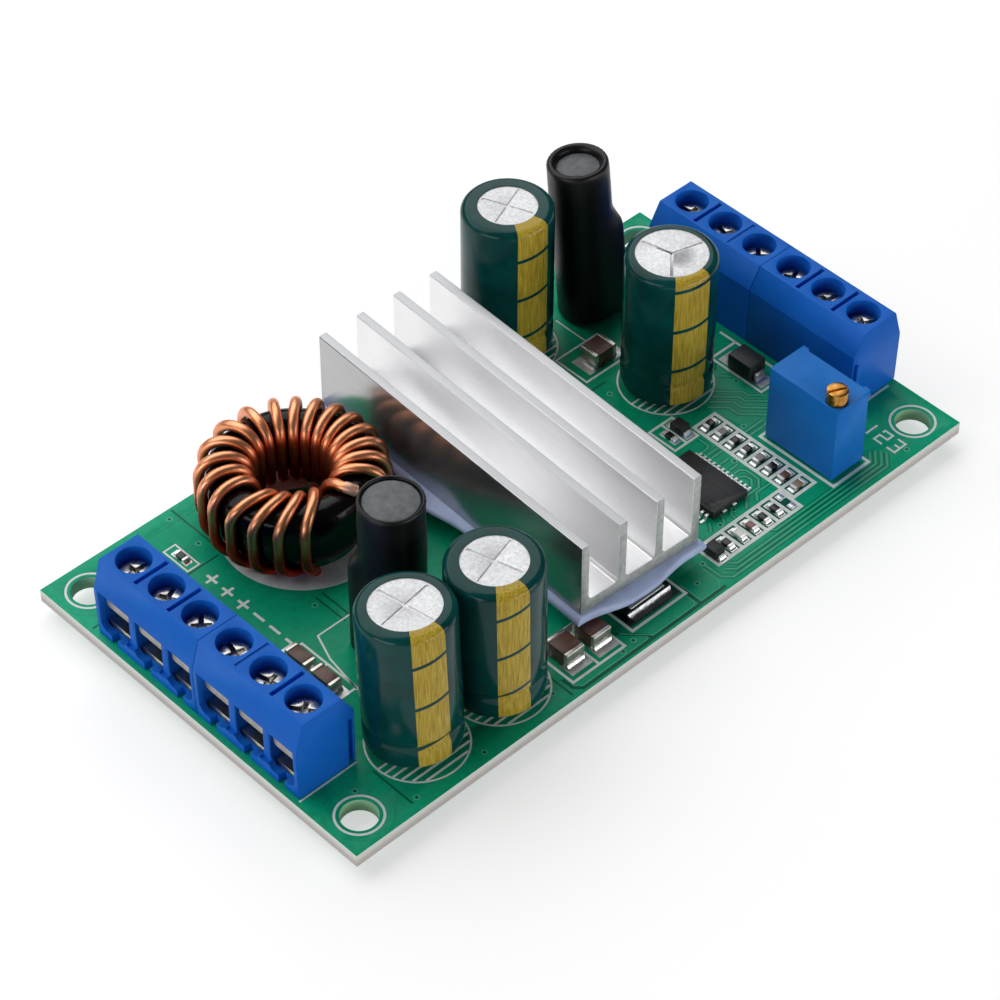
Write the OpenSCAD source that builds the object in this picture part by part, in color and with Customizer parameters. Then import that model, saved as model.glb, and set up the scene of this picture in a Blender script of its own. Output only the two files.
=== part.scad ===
// Buck-boost converter module: a populated circuit board with two rows of screw terminals.
// A finned heatsink lies on a soft pad over four power transistors. Beside it stand a toroid,
// two sleeved rod inductors, four electrolytic capacitors and a multi-turn trimmer.
// The origin is the middle of the four mounting holes, on the board's underside.
// X runs along the board towards the far terminal row, Z points up. Sizes are in millimetres.

/* [Board] */
// Length of the circuit board
board_l = 87; // [86:0.5:100]
// Width of the circuit board
board_w = 48.3; // [48:0.1:60]
// Thickness of the circuit board
board_t = 1.6; // [1:0.1:2.4]
// Distance of the mounting-hole centres from the board's edges
hole_inset = 3.6; // [3:0.1:4.5]
// Diameter of the mounting holes
hole_d = 3.9; // [3:0.1:4.5]
// Room round a lead in its board hole
lead_clear = 0.15; // [0.1:0.05:0.3]
// Length of the trimmed leads below the board
lead_out = 1.6; // [1.2:0.1:2.5]
// Height of the solder cones below the board
solder_h = 1; // [0.6:0.1:1.2]

/* [Terminal blocks] */
// Spacing of the terminals
pitch = 5.08; // [5:0.02:5.1]
// Height of the terminal housings
block_h = 10; // [9.5:0.1:11]
// Gap between joined housings
block_gap = 0.06; // [0.04:0.01:0.2]
// Thickness of the ribs between wire openings
rib_t = 1; // [0.8:0.05:1.2]
// Depth of the ribs behind the housing's front
rib_in = 0.6; // [0.3:0.05:0.8]
// Thickness of the housing floor
floor_t = 1; // [0.8:0.1:1.2]
// Diameter of the screw wells
well_d = 3.75; // [3.7:0.05:4.2]
// Distance of the near row's screws from the board's end
near_row_inset = 4; // [3.8:0.1:5]
// Distance of the far row's screws from the board's end
far_row_inset = 3.2; // [3.1:0.1:4]
// Sideways offset of the near row
near_row_y = 0.1; // [-1:0.1:1]
// Sideways offset of the far row
far_row_y = 0.6; // [-1:0.1:1]

/* [Clamps] */
// Thickness of the contact cage metal
cage_t = 0.8; // [0.6:0.05:0.9]
// Thickness of the wire guard
guard_t = 0.3; // [0.2:0.05:0.4]
// Downward travel of a clamp screw
clamp_travel = 2.05; // [1.6:0.05:2.05]
// Gap left at both ends of the travel
clamp_gap = 0.1; // [0.05:0.05:0.15]
// Diameter of the clamp screw's shank
screw_d = 2.4; // [2:0.1:2.6]
// Diameter of the clamp screw's head
screw_head_d = 3.4; // [3:0.1:3.5]
// Height of the clamp screw's head
screw_head_h = 1.2; // [1:0.1:1.3]
// Radial clearance of turning screws in their bores
turn_clear = 0.05; // [0.03:0.01:0.08]

/* [Heatsink] */
// Length of the heatsink
sink_l = 41.2; // [36:0.1:42]
// Width of the heatsink
sink_w = 16.1; // [14:0.1:17]
// Height of the heatsink
sink_h = 9.45; // [6:0.05:14]
// Thickness of the heatsink's base
sink_base = 1.6; // [1.2:0.1:2.5]
// Thickness of the fins
fin_t = 1.04; // [0.8:0.02:1.4]
// Number of fins
fins = 4; // [3:1:5]
// Chamfer at the fin roots
fin_root = 0.35; // [0.2:0.05:0.6]
// Chamfer at the fin tips
fin_tip = 0.12; // [0.05:0.01:0.2]
// Middle of the heatsink
sink_pos = [0.6, 1.45];
// Turn of the heatsink on its pad
sink_turn = -2.74; // [-4:0.02:4]

/* [Pad and transistors] */
// Thickness of the thermal pad
pad_t = 1.2; // [0.8:0.1:2]
// Overhang of the pad at the heatsink's ends
pad_end = 1.5; // [0.6:0.05:1.6]
// Overhang of the pad at the heatsink's sides
pad_side = 0.4; // [0.2:0.05:0.5]
// Extra overhang of the pad's lip at the toroid side
pad_lip = 1; // [0.4:0.1:1.2]
// Sag of the pad's free edge
pad_sag = 0.9; // [0.3:0.1:1.1]
// Height of the power transistors
fet_h = 2.3; // [2:0.05:2.4]
// Spacing of the power transistors
fet_pitch = 10; // [9:0.1:10.5]
// Length and width of the transistor bodies
fet_body = [6.1, 6.5];
// Thickness of the transistor tabs and leads
fet_metal = 0.5; // [0.4:0.05:0.6]

/* [Toroid] */
// Outer diameter of the coated core
core_od = 18.1; // [16:0.1:18.2]
// Inner diameter of the coated core
core_id = 10.2; // [9.8:0.1:11]
// Height of the coated core
core_h = 7.2; // [5:0.1:9]
// Corner radius of the coated core
core_r = 1.8; // [1:0.1:1.9]
// Diameter of the winding wire
wire_d = 1.15; // [0.7:0.05:1.15]
// Middle of the toroid
toroid_pos = [-17.9, 13.85];
// Runs of turns on the outside as first angle, number of turns and step
outer_runs = [[-124, 4, -16], [-188, 3, -15.5], [-238, 4, -20.3], [-314, 8, -14.2]];
// The same turns inside the hole
inner_runs = [[-103, 4, -16.5], [-189, 3, -18.5], [-245, 4, -16.8], [-312.2, 8, -16]];

/* [Rod inductors] */
// Outer diameter of the rod sleeve
rod_d = 6.9; // [6:0.1:7.2]
// Diameter of the ferrite rod
ferrite_d = 4.7; // [4:0.1:4.9]
// Diameter of the near rod's top flange
flange_d = 5.9; // [5:0.1:5.9]
// Thickness of the near rod's top flange
flange_t = 1.3; // [0.8:0.1:2]
// Depth of the rods' tops in their sleeves
rod_sunk = [0.25, 0.8];
// Height of the near rod above the board
rod_h = 20.5; // [16:0.1:24]
// Height of the bulge over the returning wire
bulge_h = 11.6; // [8:0.1:13]
// Reach of the bulge past the round sleeve
bulge_out = 1.1; // [0.9:0.05:1.4]
// Foot points of the rods; the near one counts from the near row's screws
rod_places = [[17.2, -6.35], [27.55, 16.45]];
// Plan angles of the bulges
rod_turn = [136.2, -43.8];
// Lean of the rods
rod_lean = [0, 4.9];
// Plan angles towards which the rods lean
rod_lean_to = [0, 112];

/* [Capacitors] */
// Outer diameter of the printed sleeves
cap_d = 10.1; // [8:0.1:10.2]
// Height of the capacitor tops above the board
cap_top = [18.4, 18.4, 19.6, 18.4];
// Height of the capacitor feet above the board
cap_foot = 1.2; // [1:0.1:2]
// Foot points of the capacitors; the first two count from the near row, the last from the far row
cap_places = [[10.05, -16.9], [20.6, -17.6], [17.05, 18.5], [-15.1, 2.1]];
// Lean of the capacitors
cap_lean = [2.7, 1.5, 0, 0];
// Plan angles towards which the capacitors lean
cap_lean_to = [90, 195, 0, 0];
// Plan angles of the sleeve's printed stripe
cap_turn = [-105.6, -111.8, -98.7, -107];
// Scored vent arms in the can tops
cap_vent = [4, 4, 4, 3];
// Spacing of the capacitor leads
cap_lead_pitch = 5; // [3.5:0.1:5.2]
// Diameter of the capacitor leads
cap_lead_d = 0.6; // [0.5:0.05:0.7]
// Thickness of the film sleeve
sleeve_t = 0.09; // [0.06:0.01:0.15]
// Radius of the visible metal on the can tops
cap_eye_r = [3.63, 3.38, 3.21, 3.9];
// Turn of the scored vents from the stripe
cap_vent_turn = [23.6, 37.8, 30.7, -29];

/* [Trimmer] */
// Length, width and height of the trimmer
trim_size = [4.83, 9.53, 10.03];
// Middle of the trimmer
trim_pos = [29.05, -16.1];
// Diameter of the trimmer screw
trim_screw_d = 2.3; // [1.8:0.1:2.4]
// Height of the trimmer screw above the trimmer
trim_screw_h = 1.5; // [1:0.1:2]
// Distances of the trimmer screw from the near and the inner side
trim_screw_in = [1.36, 1.38];

/* [Controller] */
// Width, length and height of the controller body
ic_size = [5.3, 8.4, 1.1];
// Middle of the controller
ic_pos = [16.05, -12.05];
// Leads on one side of the controller
ic_leads = 12; // [8:1:12]
// Spacing of the controller leads
ic_pitch = 0.65; // [0.6:0.01:0.66]

/* [Chip parts] */
// Length, width and height of the small chips
chip = [1.6, 0.8, 0.5];
// Length, width and height of the small diodes
diode_small = [2.4, 1.5, 1.1];
// Length, width and height of the large diode
diode_big = [4.4, 2.5, 2.1];
// Length, width and height of the tall ceramic capacitors
ceramic_big = [3.2, 2.5, 1.9];
// Length, width and height of the slim ceramic capacitors
ceramic_slim = [3.2, 1.6, 1.4];
// Places of the tall ceramic capacitors with their turn
big_places = [[22.6, 9.9, 0], [-11, -19.15, 90], [-7.3, -19.25, 90]];
// Start of the upper chip row
upper_row = [23.7, -6];
// Start of the lower chip row
lower_row = [10.2, -19.6];
// Spacing of the chips in the rows
row_step = 1.82; // [1.5:0.01:1.9]
// Length, width and height of the shunt resistor
shunt = [3.2, 6.2, 0.9];
// Middle of the shunt resistor
shunt_pos = [0.1, -18.5];

/* [Hidden] */
eps = 0.02;
$fn = 48;

function pad2(n) = n < 10 ? str("0", n) : str(n);
POLES = [0 : 11];

// Small helpers
function unit(v) = v / norm(v);
function flip(list) = [for (i = [len(list) - 1 : -1 : 0]) list[i]];
function arc(c, r, a0, a1, n) = [
    for (i = [0 : n]) let (a = a0 + (a1 - a0) * i / n) c + r * [cos(a), sin(a)]
];
function polar(r, a) = [r * cos(a), r * sin(a)];

// Terminal rows: pole k counts along the near row, then along the far row
row_x = [-board_l / 2 + near_row_inset, board_l / 2 - far_row_inset];
row_y = [near_row_y, far_row_y];
row_turn = [180, 0];
function pole_row(k) = floor(k / 6);
function pole_v(k) = (k % 6 - 2.5) * pitch;
function pole_xy(k) = [row_x[pole_row(k)], row_y[pole_row(k)] + (pole_row(k) == 0 ? -1 : 1) * pole_v(k)];
block_front = 3.45;
block_back = 4.05;
bay_w = pitch - rib_t;
bay_top = 6.5;
// Heights in a clamp, counted from the board's top
guard_low = floor_t + cage_t + clamp_gap;
guard_z = guard_low + clamp_travel - clamp_gap / 2;
nut_z = guard_z + guard_t + clamp_gap;
head_z = nut_z + cage_t + clamp_travel + clamp_gap / 2;
pin_d = 1;

// Heatsink stack above the board
pad_z = board_t + fet_h;
sink_z = pad_z + pad_t;

// Toroid heights: the winding clears the board, the wire clears the core
wind_gap = 0.08;
core_z = board_t + 0.1 + wire_d + wind_gap;
wind_r = core_r + wind_gap + wire_d / 2;
function spread(runs) = [for (r = runs) for (i = [0 : r[1] - 1]) r[0] + i * r[2]];
turns = spread(outer_runs);
turns_in = spread(inner_runs);
last_a = turns[len(turns) - 1] - 14;
stub_a = -84;

// Rod inductors
rod_pos = [rod_places[0] + [row_x[0], 0], rod_places[1]];
rod_foot = [0.25, 0.6];
rod_wall = 0.35;
rod_in = rod_d / 2 - rod_wall;
return_d = 0.7;
rod_lead_d = 0.6;
return_x = rod_d / 2 + bulge_out - rod_wall - return_d / 2 - 0.05;
coil_r = ferrite_d / 2 + 0.55;

// Capacitors
cap_from = [row_x[0], row_x[0], 0, row_x[1]];
cap_pos = [for (i = [0 : 3]) cap_places[i] + [cap_from[i], 0]];
sleeve_gap = 0.02;
can_r = cap_d / 2 - sleeve_t - sleeve_gap;
can_round = 0.75;
bung_r = can_r - 0.8;
groove_z = 2.6;
groove_w = 1.2;
groove_d = 0.3;
function can_h(i) = cap_top[i] - cap_foot - sleeve_t - sleeve_gap;

// Every lead that passes through the board: x, y and diameter
cap_leads = [for (i = [0 : 3]) for (s = [-1, 1])
    concat(cap_pos[i] + polar(s * cap_lead_pitch / 2, cap_turn[i]), cap_lead_d)];
trim_pins = [for (s = [-1, 0, 1]) [trim_pos[0] + (s == 0 ? 1.2 : -1.2), trim_pos[1] + s * 2.54, 0.5]];
pole_pins = [for (k = POLES) concat(pole_xy(k), pin_d)];
rod_leads = [for (i = [0, 1]) for (p = [[-ferrite_d / 2 - 0.3, 0], [return_x, 0]])
    concat(rod_pos[i] + polar(p[0], rod_turn[i]), rod_lead_d)];
wire_r_out = core_od / 2 + wind_gap + wire_d / 2;
wire_r_in = core_id / 2 - wind_gap - wire_d / 2;
start_r = wire_r_out - 1.7;
start_a = turns[0] + 8;
wire_ends = [
    concat(toroid_pos + polar(start_r, start_a), wire_d),
    concat(toroid_pos + polar(wire_r_out, last_a), wire_d),
    concat(toroid_pos + polar(wire_r_in, stub_a), wire_d)
];
all_leads = concat(cap_leads, trim_pins, pole_pins, rod_leads, wire_ends);

// Chip parts as kind, x, y, turn and size
upper_kinds = ["res", "cer", "res", "res", "cer", "res", "cer", "cer"];
lower_kinds = ["dio", "res", "led", "cer", "res", "res"];
// The pair of tall ceramics gives way when the capacitor beside it comes near
pair_shift = max(0, cap_pos[1][0] + cap_d / 2 + 0.1 - big_places[1][0] + ceramic_big[1] / 2);
chips = concat(
    [for (i = [0 : 7]) [upper_kinds[i], upper_row[0], upper_row[1] - i * row_step, 0, chip]],
    [for (i = [0 : 5]) [lower_kinds[i], lower_row[0] + i * row_step, lower_row[1], 90,
        lower_kinds[i] == "dio" ? diode_small : chip]],
    [for (i = [0 : 2]) let (p = big_places[i], m = i == 0 ? 0 : pair_shift)
        ["cer", p[0] + m, p[1] - m, p[2], ceramic_big]],
    [for (y = [-1.8, -5.6]) ["cer", row_x[0] + 8.6, y, 90, ceramic_slim]],
    [["res", toroid_pos[0] - 12.2, 17.65, 90, chip], ["res", 19.2, -4.4, 90, chip]],
    [["dio", 20.8, -4.3, 90, diode_small], ["dio", row_x[1] - 7.4, -2.6, 90, diode_big]],
    [["shu", shunt_pos[0], shunt_pos[1], 90, shunt]]
);
function end_len(c) = c[0] == "shu" ? 0.7 : c[4][0] > 3 ? 0.55 : 0.35;

// Circuit board with its mounting holes and lead holes
module pcb() {
    color("#0f7f5c")
    difference() {
        translate([-board_l / 2, -board_w / 2, 0])
            cube([board_l, board_w, board_t]);
        for (x = [-1, 1], y = [-1, 1])
            translate([x * (board_l / 2 - hole_inset), y * (board_w / 2 - hole_inset), -1])
                cylinder(d = hole_d, h = board_t + 2);
        for (p = all_leads)
            translate([p[0], p[1], -1])
                cylinder(d = p[2] + 2 * lead_clear, h = board_t + 2, $fn = 24);
    }
}

// Solder cones on the underside, one round each lead
module solder_joints() {
    color("#b9bcc0")
    for (p = all_leads)
        translate([p[0], p[1], -solder_h])
            difference() {
                cylinder(r1 = p[2] / 2 + 0.12, r2 = p[2] / 2 + 0.65, h = solder_h, $fn = 24);
                translate([0, 0, -1])
                    cylinder(d = p[2] + eps, h = solder_h + 2, $fn = 24);
            }
}

// Places something at the middle of a row
module at_row(r) {
    translate([row_x[r], row_y[r], board_t])
        rotate(row_turn[r])
            children();
}

// Places something at a pole
module at_pole(k) {
    at_row(pole_row(k))
        translate([0, pole_v(k), 0])
            children();
}

// Solid along the row from a profile in outward distance and height
module along_row(len_v, profile) {
    translate([0, len_v / 2, 0])
        rotate([90, 0, 0])
            linear_extrude(len_v)
                polygon(profile);
}

// Solid pushed outwards from a profile in row distance and height
module outwards(u0, u1, profile) {
    translate([u0, 0, 0])
        rotate([90, 0, 90])
            linear_extrude(u1 - u0)
                polygon(profile);
}

// Wire opening with rounded lower corners and a notch through the sill
function mouth(w, top, sill, r, notch) = concat(
    [[-w, top], [-w, sill + r]],
    arc([-w + r, sill + r], r, 180, 270, 5),
    [[-notch, sill], [-notch, -1], [notch, -1], [notch, sill]],
    arc([w - r, sill + r], r, 270, 360, 5),
    [[w, top]]
);

// Joining tongue at the back corner, also cut as a slot with clearance
module tongue(reach, room) {
    along_row(reach, concat(
        [[-3.75 - room, -room], [-3.25 + room, -room]],
        arc([-3.5, 6.05], 0.25 + room, 0, 180, 6)
    ));
}

// Housing of three poles
module terminal_block(b) {
    r = floor(b / 2);
    mid = (b % 2 - 0.5) * 3 * pitch;
    len_v = 3 * pitch - block_gap;
    slot_deep = b % 2 == 0 ? [1.2, 1.2] : [0.15, 1.2];
    color("#0d72c4")
    at_row(r)
        translate([0, mid, 0])
            difference() {
                union() {
                    along_row(len_v, [
                        [-block_back, 0], [block_front - 0.15, 0], [block_front, bay_top],
                        [2.4, block_h], [-2.55, block_h], [-block_back, bay_top + 0.9]
                    ]);
                    translate([0, -len_v / 2, 0])
                        tongue(0.8, 0);
                }
                for (i = [-1 : 1])
                    translate([0, i * pitch, 0])
                        pole_room();
                for (i = [0, 1])
                    translate([-2.25, (i - 0.5) * pitch - 0.25, block_h - slot_deep[i]])
                        cube([4.25, 0.5, 2]);
                for (i = [0, 1])
                    translate([block_front - rib_in, (i - 0.5) * pitch - rib_t / 2 - 0.1, floor_t + 0.4])
                        cube([2, rib_t + 0.2, bay_top - floor_t - 0.4]);
                translate([0, len_v / 2, 0])
                    tongue(1, 0.06);
            }
}

// Hollow of one pole: clamp bay, wire mouth, screw well and pin hole
module pole_room() {
    translate([-3.1, -bay_w / 2, floor_t])
        cube([5.65, bay_w, bay_top - floor_t]);
    outwards(2.4, block_front + 1, mouth(bay_w / 2, bay_top, floor_t, 1.2, 0.45));
    translate([0, 0, bay_top - 0.5])
        cylinder(d = well_d, h = block_h);
    translate([0, 0, -1])
        cylinder(d = pin_d + 2 * lead_clear, h = floor_t + 2, $fn = 24);
}

// Contact cages with a nut plate and a solder pin
module terminal_contacts() {
    color("#c9c6bd")
    for (k = POLES)
        at_pole(k) {
            difference() {
                along_row(3.5, [
                    [-3, floor_t], [2.4, floor_t], [2.4, floor_t + cage_t], [-3 + cage_t, floor_t + cage_t],
                    [-3 + cage_t, nut_z], [1.9, nut_z], [1.9, nut_z + cage_t], [-3, nut_z + cage_t]
                ]);
                translate([0, 0, nut_z - 1])
                    cylinder(d = screw_d + 2 * turn_clear, h = cage_t + 2);
            }
            translate([0, 0, -board_t - lead_out])
                cylinder(d = pin_d, h = board_t + lead_out + floor_t + eps, $fn = 24);
        }
}

// Clamp screw with a combined cross and slot in its head
module terminal_screw(k) {
    color("#d9d6cd")
    at_pole(k)
        difference() {
            union() {
                translate([0, 0, guard_z + guard_t + clamp_gap / 2])
                    cylinder(d = screw_d, h = head_z - guard_z - guard_t);
                translate([0, 0, head_z])
                    cylinder(d1 = screw_head_d, d2 = screw_head_d - 0.3, h = screw_head_h);
            }
            for (a = [0, 90])
                rotate(a + 25 * k)
                    translate([-1.05 - (a == 0 ? 1 : 0), -0.27, head_z + screw_head_h - 0.7])
                        cube([2.1 + (a == 0 ? 2 : 0), 0.54, 1]);
        }
}

// Wire guard: a plate under the screw with a front leaf
module wire_guard(k) {
    color("#c4c5c6")
    at_pole(k) {
        translate([-1.9, -1.5, guard_z])
            cube([4.12, 3, guard_t]);
        outwards(2.5 - guard_t, 2.5, leaf_outline(1.85, guard_z, guard_z + 2.4, 0.5));
    }
}

// Leaf of a wire guard with rounded lower corners
function leaf_outline(w, z0, z1, r) = concat(
    [[w, z1], [-w, z1]],
    arc([-w + r, z0 + r], r, 180, 270, 4),
    arc([w - r, z0 + r], r, 270, 360, 4)
);

// Places something on the heatsink's footprint
module at_sink(z) {
    translate([sink_pos[0], sink_pos[1], z])
        rotate(sink_turn)
            children();
}

// Extruded heatsink, its outline running over the fins
module heatsink() {
    step = (sink_w - fin_t) / (fins - 1);
    outline = concat(
        [[sink_w / 2, 0], [-sink_w / 2, 0]],
        [for (i = [0 : fins - 1]) let (c = -sink_w / 2 + fin_t / 2 + i * step, h = fin_t / 2) each concat(
            i == 0 ? [] : [[c - h - fin_root, sink_base], [c - h, sink_base + fin_root]],
            [[c - h, sink_h - fin_tip], [c - h + fin_tip, sink_h]],
            [[c + h - fin_tip, sink_h], [c + h, sink_h - fin_tip]],
            i == fins - 1 ? [] : [[c + h, sink_base + fin_root], [c + h + fin_root, sink_base]]
        )]
    );
    color("#c3c5c8")
    at_sink(sink_z)
        translate([0, sink_l / 2, 0])
            rotate([90, 0, 0])
                linear_extrude(sink_l)
                    polygon(outline);
}

// Soft pad: a grid whose free edge waves and sags past the heatsink
pad_n = [12, 22];
function pad_lip_at(v) = pad_lip * exp(-pow((v - 2) / 3.5, 2));
function pad_u(s, v) = s < 0
    ? s * (sink_w / 2 + pad_side + pad_lip_at(v))
    : s * (sink_w / 2 + pad_side);
function pad_ease(u) = (1 - cos(180 * min(1, max(0, u / sink_w * 2.7 + 1.33)))) / 2;
function pad_v(s, u) = s * (sink_l / 2 + pad_end * (0.15 + 0.85 * pad_ease(u)));
function pad_drop(u, v) = let (
        d = max(abs(u) - sink_w / 2, 0),
        e = max(abs(v) - sink_l / 2, 0)
    ) e > d
    ? pad_sag * min(1.2, e) * pad_ease(u) * (0.8 + 0.2 * cos(25 * (u + 1)))
    : pad_sag * min(1, d) * (0.6 - 0.35 * cos(40 * v));
function pad_point(i, j, top) = let (
        su = i / pad_n[0] * 2 - 1,
        sv = j / pad_n[1] * 2 - 1,
        v0 = sv * sink_l / 2,
        u = abs(su) == 1 ? pad_u(su, v0) : su * sink_w / 2 * pad_n[0] / (pad_n[0] - 2),
        v = abs(sv) == 1 ? pad_v(sv, u) : sv * sink_l / 2 * pad_n[1] / (pad_n[1] - 2)
    ) [u, v, (top ? pad_t - 0.01 : 0.01) - pad_drop(u, v) * (top ? 1 : 0.85)];
module thermal_pad() {
    nu = pad_n[0];
    nv = pad_n[1];
    half = (nu + 1) * (nv + 1);
    points = [for (t = [0, 1]) for (j = [0 : nv]) for (i = [0 : nu]) pad_point(i, j, t == 1)];
    rim = concat(
        [for (i = [0 : nu - 1]) i],
        [for (j = [0 : nv - 1]) nu + j * (nu + 1)],
        [for (i = [0 : nu - 1]) half - 1 - i],
        [for (j = [nv : -1 : 1]) j * (nu + 1)]
    );
    faces = concat(
        [for (j = [0 : nv - 1]) for (i = [0 : nu - 1]) let (a = j * (nu + 1) + i)
            each [[a, a + 1, a + nu + 2], [a, a + nu + 2, a + nu + 1]]],
        [for (j = [0 : nv - 1]) for (i = [0 : nu - 1]) let (a = half + j * (nu + 1) + i)
            each [[a, a + nu + 2, a + 1], [a, a + nu + 1, a + nu + 2]]],
        [for (k = [0 : len(rim) - 1]) let (a = rim[k], b = rim[(k + 1) % len(rim)])
            each [[a, half + a, half + b], [a, half + b, b]]]
    );
    color("#a9a3b3")
    at_sink(pad_z)
        polyhedron(points, faces, convexity = 4);
}

// Places something at each power transistor
module at_fets() {
    for (i = [0 : 3])
        translate([sink_pos[0], sink_pos[1] + 0.5 + (i - 1.5) * fet_pitch, board_t])
            rotate(i % 2 == 0 ? 0 : 180)
                children();
}

// Moulded bodies of the power transistors
module power_transistors() {
    color("#26272a")
    at_fets()
        translate([-fet_body[0] / 2, -fet_body[1] / 2, fet_metal])
            cube([fet_body[0], fet_body[1], fet_h - fet_metal]);
}

// Tabs and bent leads of the power transistors
module transistor_leads() {
    e = fet_body[0] / 2;
    w = fet_body[1] - 1.2;
    t = fet_metal;
    color("#b4b6b8")
    at_fets() {
        translate([-e - 1.05, -w / 2, 0])
            cube([fet_body[0], w, t]);
        for (v = [-2.3, 2.3])
            translate([0, v, 0])
                along_row(0.75, [
                    [e, 0.9], [e + 0.85, 0.9], [e + 1.2, 0], [e + 2.55, 0],
                    [e + 2.55, t], [e + 1.55, t], [e + 1.1, 0.9 + t], [e, 0.9 + t]
                ]);
    }
}

// Ring core with rounded edges
module toroid_core() {
    a = core_id / 2;
    b = core_od / 2;
    color("#1b1c1e")
    translate([toroid_pos[0], toroid_pos[1], core_z])
        rotate_extrude($fn = 72)
            polygon(concat(
                arc([b - core_r, core_r], core_r, -90, 0, 3),
                arc([b - core_r, core_h - core_r], core_r, 0, 90, 3),
                arc([a + core_r, core_h - core_r], core_r, 90, 180, 3),
                arc([a + core_r, core_r], core_r, 180, 270, 3)
            ));
}

// Path of the winding: up the outside, over the top, down the inside and under to the next turn
function ring_at(p, a) = [p[0] * cos(a), p[0] * sin(a), p[1]];
wind_in = core_id / 2 + core_r;
wind_out = core_od / 2 - core_r;
wind_top = core_h - core_r;
function wind_mix(p) = (wire_r_out - p[0]) / (wire_r_out - wire_r_in);
function on_turn(p, a, b) = let (c = a + (b - a) * wind_mix(p)) [ring_at(p, c), c];
function turn_path(i) = let (
        a = turns[i],
        b = turns_in[i],
        last = i == len(turns) - 1,
        next = last ? last_a : turns[i + 1],
        under = last
            ? arc([wire_r_out - 0.6, core_r - wind_r - 0.6], 0.6, 90, 0, 3)
            : arc([wind_out, core_r], wind_r, 270, 360, 3)
    ) concat(
    [for (p = arc([wind_out, wind_top], wind_r, 0, 90, 3)) on_turn(p, a, b)],
    [for (p = arc([wind_in, wind_top], wind_r, 90, 180, 3)) on_turn(p, a, b)],
    [for (p = arc([wind_in, core_r], wind_r, 180, 270, 3)) on_turn(p, next, b)],
    [for (p = under) on_turn(p, next, b)]
);
lead_low = -lead_out - core_z;
wind_path = concat(
    [for (z = [lead_low, -1.3]) [ring_at([start_r, z], start_a), start_a]],
    [[ring_at([start_r + 0.15, -0.75], start_a - 1), start_a]],
    [for (k = [0 : 2]) let (p = arc([wind_out, core_r], wind_r, 303, 360, 2)[k])
        [ring_at(p, start_a - 3 - 2.5 * k), turns[0]]],
    [for (i = [0 : len(turns) - 1]) each turn_path(i)],
    [[ring_at([wire_r_out, lead_low], last_a), last_a]]
);
stub_path = concat(
    [[ring_at([wire_r_in, lead_low], stub_a), stub_a]],
    [for (p = arc([wind_in, wind_top], wind_r, 180, 90, 4)) [ring_at(p, stub_a), stub_a]],
    [[ring_at([wind_in + 0.9, core_h + wire_d / 2 + 0.12], stub_a + 5), stub_a]],
    [[ring_at([wire_r_out - 0.5, core_h + wire_d / 2 - 0.1], stub_a + 10), stub_a]]
);
function tube_points(path, r, n) = [
    for (i = [0 : len(path) - 1]) let (
        t = unit(path[min(i + 1, len(path) - 1)][0] - path[max(i - 1, 0)][0]),
        d = [-sin(path[i][1]), cos(path[i][1]), 0],
        a = unit(d - (d * t) * t),
        b = cross(t, a)
    ) for (k = [0 : n - 1]) path[i][0] + r * (cos(360 * k / n) * a + sin(360 * k / n) * b)
];
function tube_faces(m, n) = concat(
    [[for (k = [0 : n - 1]) k]],
    [for (i = [0 : m - 2]) for (k = [0 : n - 1]) let (a = i * n + k, b = i * n + (k + 1) % n)
        each [[a, a + n, b + n], [a, b + n, b]]],
    [[for (k = [n - 1 : -1 : 0]) (m - 1) * n + k]]
);
module tube(path, r, n) {
    polyhedron(tube_points(path, r, n), tube_faces(len(path), n), convexity = 10);
}

// Winding of the toroid and the bare wire end on its top
module toroid_winding() {
    color("#b5572a")
    translate([toroid_pos[0], toroid_pos[1], core_z]) {
        tube(wind_path, wire_d / 2, 8);
        tube(stub_path, wire_d / 2, 8);
    }
}

// Leaning stand of a rod inductor, bulge along +X
module at_rod(i) {
    translate([rod_pos[i][0], rod_pos[i][1], board_t + rod_foot[i]])
        rotate([-rod_lean[i] * sin(rod_lean_to[i]), rod_lean[i] * cos(rod_lean_to[i]), 0])
            rotate(rod_turn[i])
                children();
}
function rod_len(i) = rod_h - rod_foot[i];
function rod_top(i) = rod_len(i) - rod_sunk[i];

// Ferrite rods, the near one with a flange at its top
module rod_cores() {
    color("#6d7074")
    for (i = [0, 1])
        at_rod(i)
            rotate_extrude()
                polygon(concat(
                    [[0, 0.6], [ferrite_d / 2, 0.6]],
                    i == 1 ? [[ferrite_d / 2, rod_top(i)]] : [
                        [ferrite_d / 2, rod_top(i) - flange_t], [flange_d / 2, rod_top(i) - flange_t],
                        [flange_d / 2, rod_top(i) - 0.15], [flange_d / 2 - 0.15, rod_top(i)]
                    ],
                    [[0, rod_top(i)]]
                ));
}

// Coils on the rods with the returning wire and both leads
module rod_windings() {
    color("#b5572a")
    for (i = [0, 1]) {
        at_rod(i) {
            difference() {
                translate([0, 0, 1])
                    cylinder(r = coil_r, h = bulge_h - 1);
                cylinder(d = ferrite_d + eps, h = rod_h);
            }
            translate([return_x, 0, 0.8])
                cylinder(d = return_d, h = bulge_h - 2, $fn = 24);
        }
        for (p = [rod_leads[2 * i], rod_leads[2 * i + 1]])
            translate([p[0], p[1], -lead_out])
                cylinder(d = rod_lead_d, h = lead_out + board_t + rod_foot[i] + 1.3, $fn = 24);
    }
}

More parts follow.
